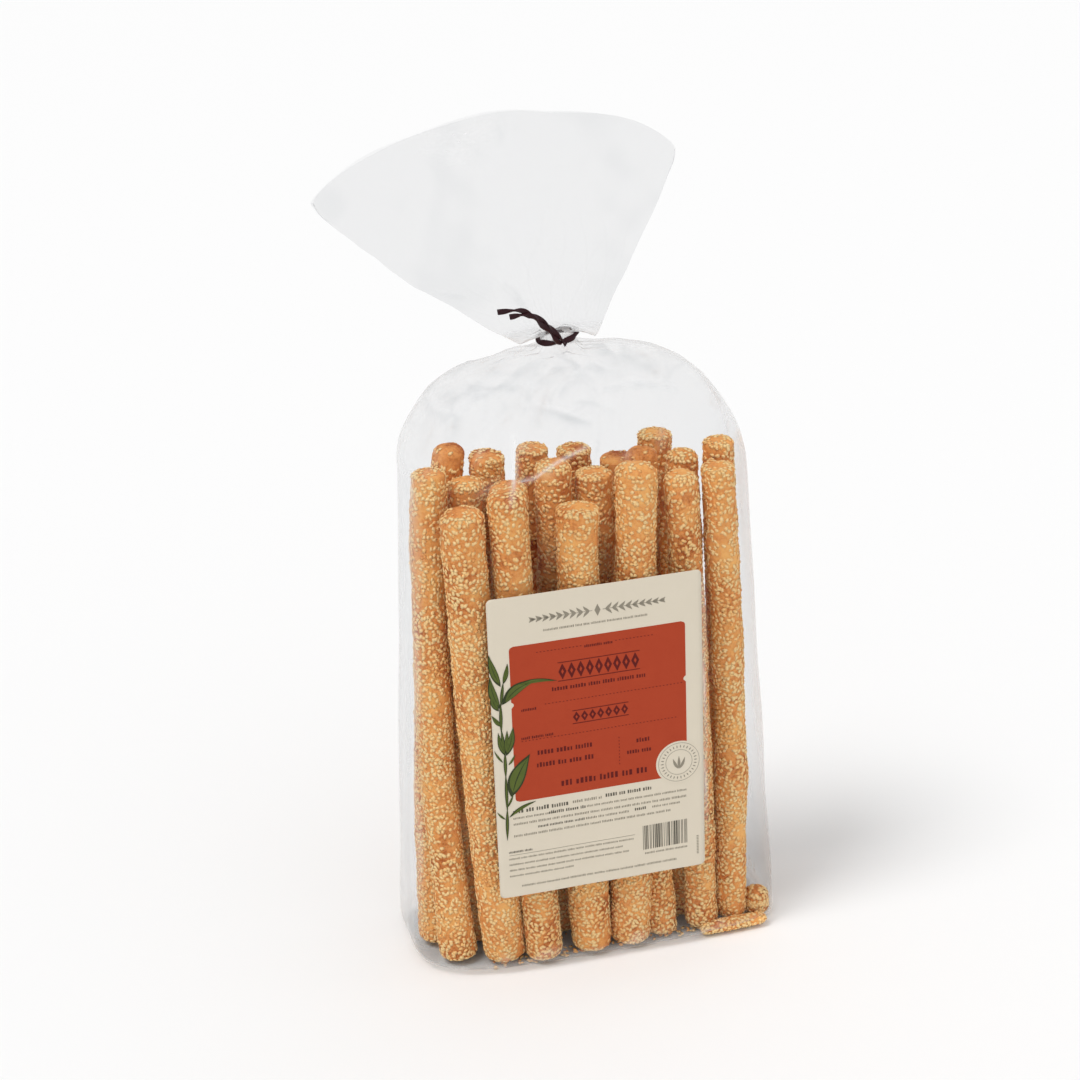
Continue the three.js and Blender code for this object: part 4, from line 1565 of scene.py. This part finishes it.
# %% The sprig
STEM = np.array([(3.8, 26.3), (4.3, 38), (4.3, 53), (4.4, 62), (3.4, 72), (3.6, 83), (5.0, 91)])
for low, high in zip(STEM[:-1], STEM[1:]):
    print_leaf("deep_green", low - (0, 1.2), high + (0, 1.2), 0.62, 0, 3, fullness=1.0)
    print_leaf("green", low, high, 0.3, 0, 4, fullness=1.0)
LEAVES = (  # base, tip, half width, bend
    ((3.9, 90.5), (-0.1, 104.0), 1.4, -0.6),
    ((5.0, 91.5), (6.9, 99.5), 0.9, 0.3),
    ((4.2, 83.0), (17.5, 91.0), 2.0, -1.9),
    ((9.5, 90.2), (25.5, 89.6), 0.8, -0.9),
    ((3.2, 81.5), (0.0, 95.0), 1.5, -0.9),
    ((2.8, 80.5), (0.2, 88.0), 1.1, -0.6),
    ((3.5, 74.0), (0.0, 79.0), 0.8, -0.2),
    ((4.6, 61.5), (2.2, 71.5), 1.0, -0.5),
    ((4.9, 61.5), (8.0, 73.0), 1.4, 0.5),
    ((5.0, 62.0), (5.6, 72.0), 0.9, 0.0),
    ((3.6, 58.7), (0.3, 64.3), 0.4, -0.3),
    ((5.6, 57.4), (8.3, 61.5), 0.45, 0.3),
    ((6.0, 43.8), (13.9, 60.5), 3.1, -1.0),
    ((4.5, 39.5), (7.0, 45.0), 0.4, 0.2),
    ((5.0, 35.0), (15.5, 40.2), 0.7, -0.8),
    ((3.4, 34.4), (0.3, 38.0), 0.4, -0.2),
)
LEAF_HALVES = ((-0.84, -0.08), (0.08, 0.76))  # between these shares of the half width
for base, tip, half, bend in LEAVES:
    print_leaf("deep_green", base, tip, half, bend, 3)
    low, high = np.array(base), np.array(tip)
    inner = low + (high - low) * 0.1, low + (high - low) * 0.92
    for part in LEAF_HALVES:
        print_leaf("green", *inner, half, bend * 0.85, 4, part)
print(len(LEAVES), "leaves")

# %% [markdown]
# ## Paper and ink
# Label paper is smooth but not flat-coloured: it has a faint mottle and a soft sheen. The inks lie
# on it with the same mottle, so one node group, given a colour, serves the paper and every ink.

# %% Paper and ink as a node group
mottle, entry, leave = start_group(
    "printed_mottle",
    {"Position": "Vector", "Lighter": "Color", "Darker": "Color"},
    finish_outputs,
)
cloud = add_node(mottle, "TexNoise", (-400, 200), Scale=140, Detail=4, Roughness=0.6)
fibre = add_node(mottle, "TexNoise", (-400, -100), Scale=2600, Detail=2)
shade = add_node(mottle, "Mix", (100, 200), data_type="RGBA")
sheen = add_node(mottle, "MapRange", (100, -100), To_Min=0.42, To_Max=0.6)
connect(
    mottle,
    (entry, "Position", cloud, "Vector"),
    (entry, "Position", fibre, "Vector"),
    (cloud, "Fac", shade, "Factor"),
    (entry, "Lighter", shade, "A"),
    (entry, "Darker", shade, "B"),
    (fibre, "Fac", sheen, "Value"),
    (shade, "Result", leave, "Colour"),
    (sheen, "Result", leave, "Roughness"),
    (fibre, "Fac", leave, "Height"),
)
print("printed surface:", len(mottle.nodes), "nodes")

# %% [markdown]
# All sheets of one ink become one mesh with one material. The seal's disc is bare paper, so it is
# cream and belongs to the label.


# %% Print the label
def printed_material(name, lighter, darker):
    """Paper or ink: a linear colour, mottled towards a darker one."""
    colours = {"Lighter": (*lighter, 1), "Darker": (*darker, 1)}
    return group_material(name, mottle, 0.15, 0.15, 0.05, **colours)[0]


INK_COLOURS = {  # linear colour, and the darker one it is mottled towards
    "terracotta": ((0.43, 0.056, 0.019), (0.385, 0.046, 0.015)),
    "maroon": ((0.13, 0.010, 0.008), (0.10, 0.008, 0.006)),
    "grey": ((0.12, 0.11, 0.085), (0.09, 0.08, 0.06)),
    "faint": ((0.30, 0.27, 0.21), (0.25, 0.22, 0.17)),
    "green": ((0.12, 0.155, 0.03), (0.06, 0.085, 0.018)),
    "deep_green": ((0.042, 0.055, 0.02), (0.028, 0.038, 0.013)),
    "cream": ((0.715, 0.645, 0.525), (0.685, 0.615, 0.495)),
}
paper.data.materials.append(printed_material("label_paper", *INK_COLOURS["cream"]))
for ink, sheets in ink_shapes.items():
    points, faces, _ = join_meshes(sheets)
    slot = "label_paper" if ink == "cream" else "label_ink"
    finish = printed_material("ink_" + ink, *INK_COLOURS[ink])
    make_piece("print_" + ink, points, faces, slot=slot, material=finish, flat=True)
    print(ink, len(sheets), "shapes")

# %% [markdown]
# ## The twist tie
# A flat ribbon with a wire in it goes once round the neck and crosses in front. From there its two
# ends lie against each other, both twisted, and part after about two centimetres. A ribbon is a
# flat oval carried along a smooth line, turning about the line as it goes.


# %% Ribbon helpers
def smooth_path(points, count):
    """A smooth line through a few points: each step is a cubic between two of them whose slope
    at a point is half the way from the point before to the one after."""
    points = np.array(points, float)
    slopes = np.gradient(points, axis=0)
    place = np.linspace(0, len(points) - 1, count)
    first = np.minimum(place.astype(int), len(points) - 2)
    share = (place - first)[:, None]
    start, end = points[first], points[first + 1]
    start_slope, end_slope = slopes[first], slopes[first + 1]
    cubic = 2 * share**3 - 3 * share**2
    bent = (share**3 - 2 * share**2 + share) * start_slope + (share**3 - share**2) * end_slope
    return start * (1 + cubic) - end * cubic + bent


def ribbon(path, half_size, first_turn, turns, reference=(0, -1, 0)):
    """A flat oval, cos and sin divided by (|cos|^3 + |sin|^3)^(1/3), carried along a path. It
    starts turned by first_turn about the path and turns by so many whole turns along it."""
    direction = unit(np.gradient(path, axis=0))
    side = unit(np.cross(direction, np.array(reference, float)))
    other = np.cross(direction, side)
    spin = (first_turn + turns * np.linspace(0, 1, len(path)))[:, None] * 2 * np.pi
    wide = side * np.cos(spin) + other * np.sin(spin)
    thin = np.cross(direction, wide)
    angle = np.arange(RIBBON_COLUMNS) * 2 * np.pi / RIBBON_COLUMNS
    size = 1 / (np.abs(np.cos(angle)) ** 3 + np.abs(np.sin(angle)) ** 3) ** (1 / 3)
    across = (half_size[0] * np.cos(angle) * size)[None, :, None]
    through = (half_size[1] * np.sin(angle) * size)[None, :, None]
    return path[:, None] + across * wide[:, None] + through * thin[:, None]


RIBBON_COLUMNS = 14
straight = smooth_path([(0, 0, 0), (5, 0, 0), (10, 0, 0)], 5)
print("a straight ribbon:", ribbon(straight, (1, 0.5), 0, 0).shape[:2], "points")

# %% [markdown]
# The loop is a slightly tilted ellipse round the neck. The two ends are lines through a few given
# places, from the knot up to the left in front of the fan.

# %% Paths of the tie
KNOT = np.array((-3.6, -6.2, 248.3))
LOOP_RADII = (7.0, 5.4)
LOOP_DROP = 0.9  # how far below the narrowest place of the neck its middle lies
LOOP_TILT = (0.8, 0.3)  # how far its right end and its back are raised
loop_turn = np.linspace(0, 2 * np.pi, 65) - np.pi / 2
loop_height = NECK_HEIGHT - LOOP_DROP + LOOP_TILT[0] * np.cos(loop_turn)
loop_height += LOOP_TILT[1] * np.sin(loop_turn)
loop_x = NECK[3] + LOOP_RADII[0] * np.cos(loop_turn)
loop = np.column_stack([loop_x, LOOP_RADII[1] * np.sin(loop_turn), loop_height])
upper = smooth_path(
    [
        KNOT + (1.2, 0, -0.6),
        (-7.0, -8.0, 253.6),
        (-11.3, -9.4, 258.4),
        (-16.5, -11.6, 262.6),
        (-21.0, -12.2, 264.8),
        (-28.8, -12.5, 265.2),
    ],
    60,
)
lower = smooth_path(
    [
        KNOT + (-1.2, 0.2, -0.2),
        (-8.2, -8.6, 253.2),
        (-12.2, -10.2, 257.6),
        (-16.0, -12.4, 261.8),
        (-19.5, -13.0, 263.2),
        (-24.6, -13.0, 263.0),
    ],
    60,
)
print("the longer end reaches x", upper[:, 0].min().round(1))

# %% [markdown]
# Each strand is closed at both its ends, and the three strands are one mesh. In the loop the ribbon
# turns twice about its line, and about as often in each end.

# %% Twist tie
LOOP_HALF_SIZE = (1.15, 0.5)
END_HALF_SIZE = (1.05, 0.42)
strands = (
    ribbon(loop, LOOP_HALF_SIZE, 0.0, 2.0, reference=(0, 0, 1)),
    ribbon(upper, END_HALF_SIZE, 0.1, 2.0),
    ribbon(lower, END_HALF_SIZE, 0.35, 1.75),
)
tie_parts = []
for strand in strands:
    ends = strand[0].mean(axis=0), strand[-1].mean(axis=0)
    points, quads, caps = closed_tube(strand, *ends)
    as_triangles = np.concatenate([quads[:, [0, 1, 2]], quads[:, [0, 2, 3]], caps])
    tie_parts.append((points, as_triangles, np.zeros(len(points))))
points, faces, _ = join_meshes(tie_parts)
tie = make_piece("tie_ribbon", points, faces, slot="tie_ribbon")
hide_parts("twist_tie")
print("tie made of", len(strands), "strands")

# %% [markdown]
# The ribbon is dark plastic, almost black with a trace of wine red, and slightly uneven where it
# was bent.

# %% The tie's finish
WINE_BLACK = (0.035, 0.004, 0.008)
DEEP_BLACK = (0.012, 0.003, 0.004)
tie_material, tree, output = new_material("tie_plastic")
place = add_node(tree, "TexCoord", (-500, 0))
ribs = add_node(tree, "TexNoise", (-300, 0), Scale=900, Detail=2)
tint = add_node(
    tree, "Mix", (0, 100), data_type="RGBA", A=(*WINE_BLACK, 1), B=(*DEEP_BLACK, 1)
)
bump = add_node(tree, "Bump", (100, -200), Strength=0.4, Distance=0.1 * MM)
shader = add_node(tree, "BsdfPrincipled", (400, 0), Roughness=0.4, Specular_IOR_Level=0.2)
connect(
    tree,
    (place, "Object", ribs, "Vector"),
    (ribs, "Fac", tint, "Factor"),
    (ribs, "Fac", bump, "Height"),
    (tint, "Result", shader, "Base Color"),
    (bump, "Normal", shader, "Normal"),
    (shader, "BSDF", output, "Surface"),
)
tie.data.materials.append(tie_material)
print("tie finish:", tie_material.name)
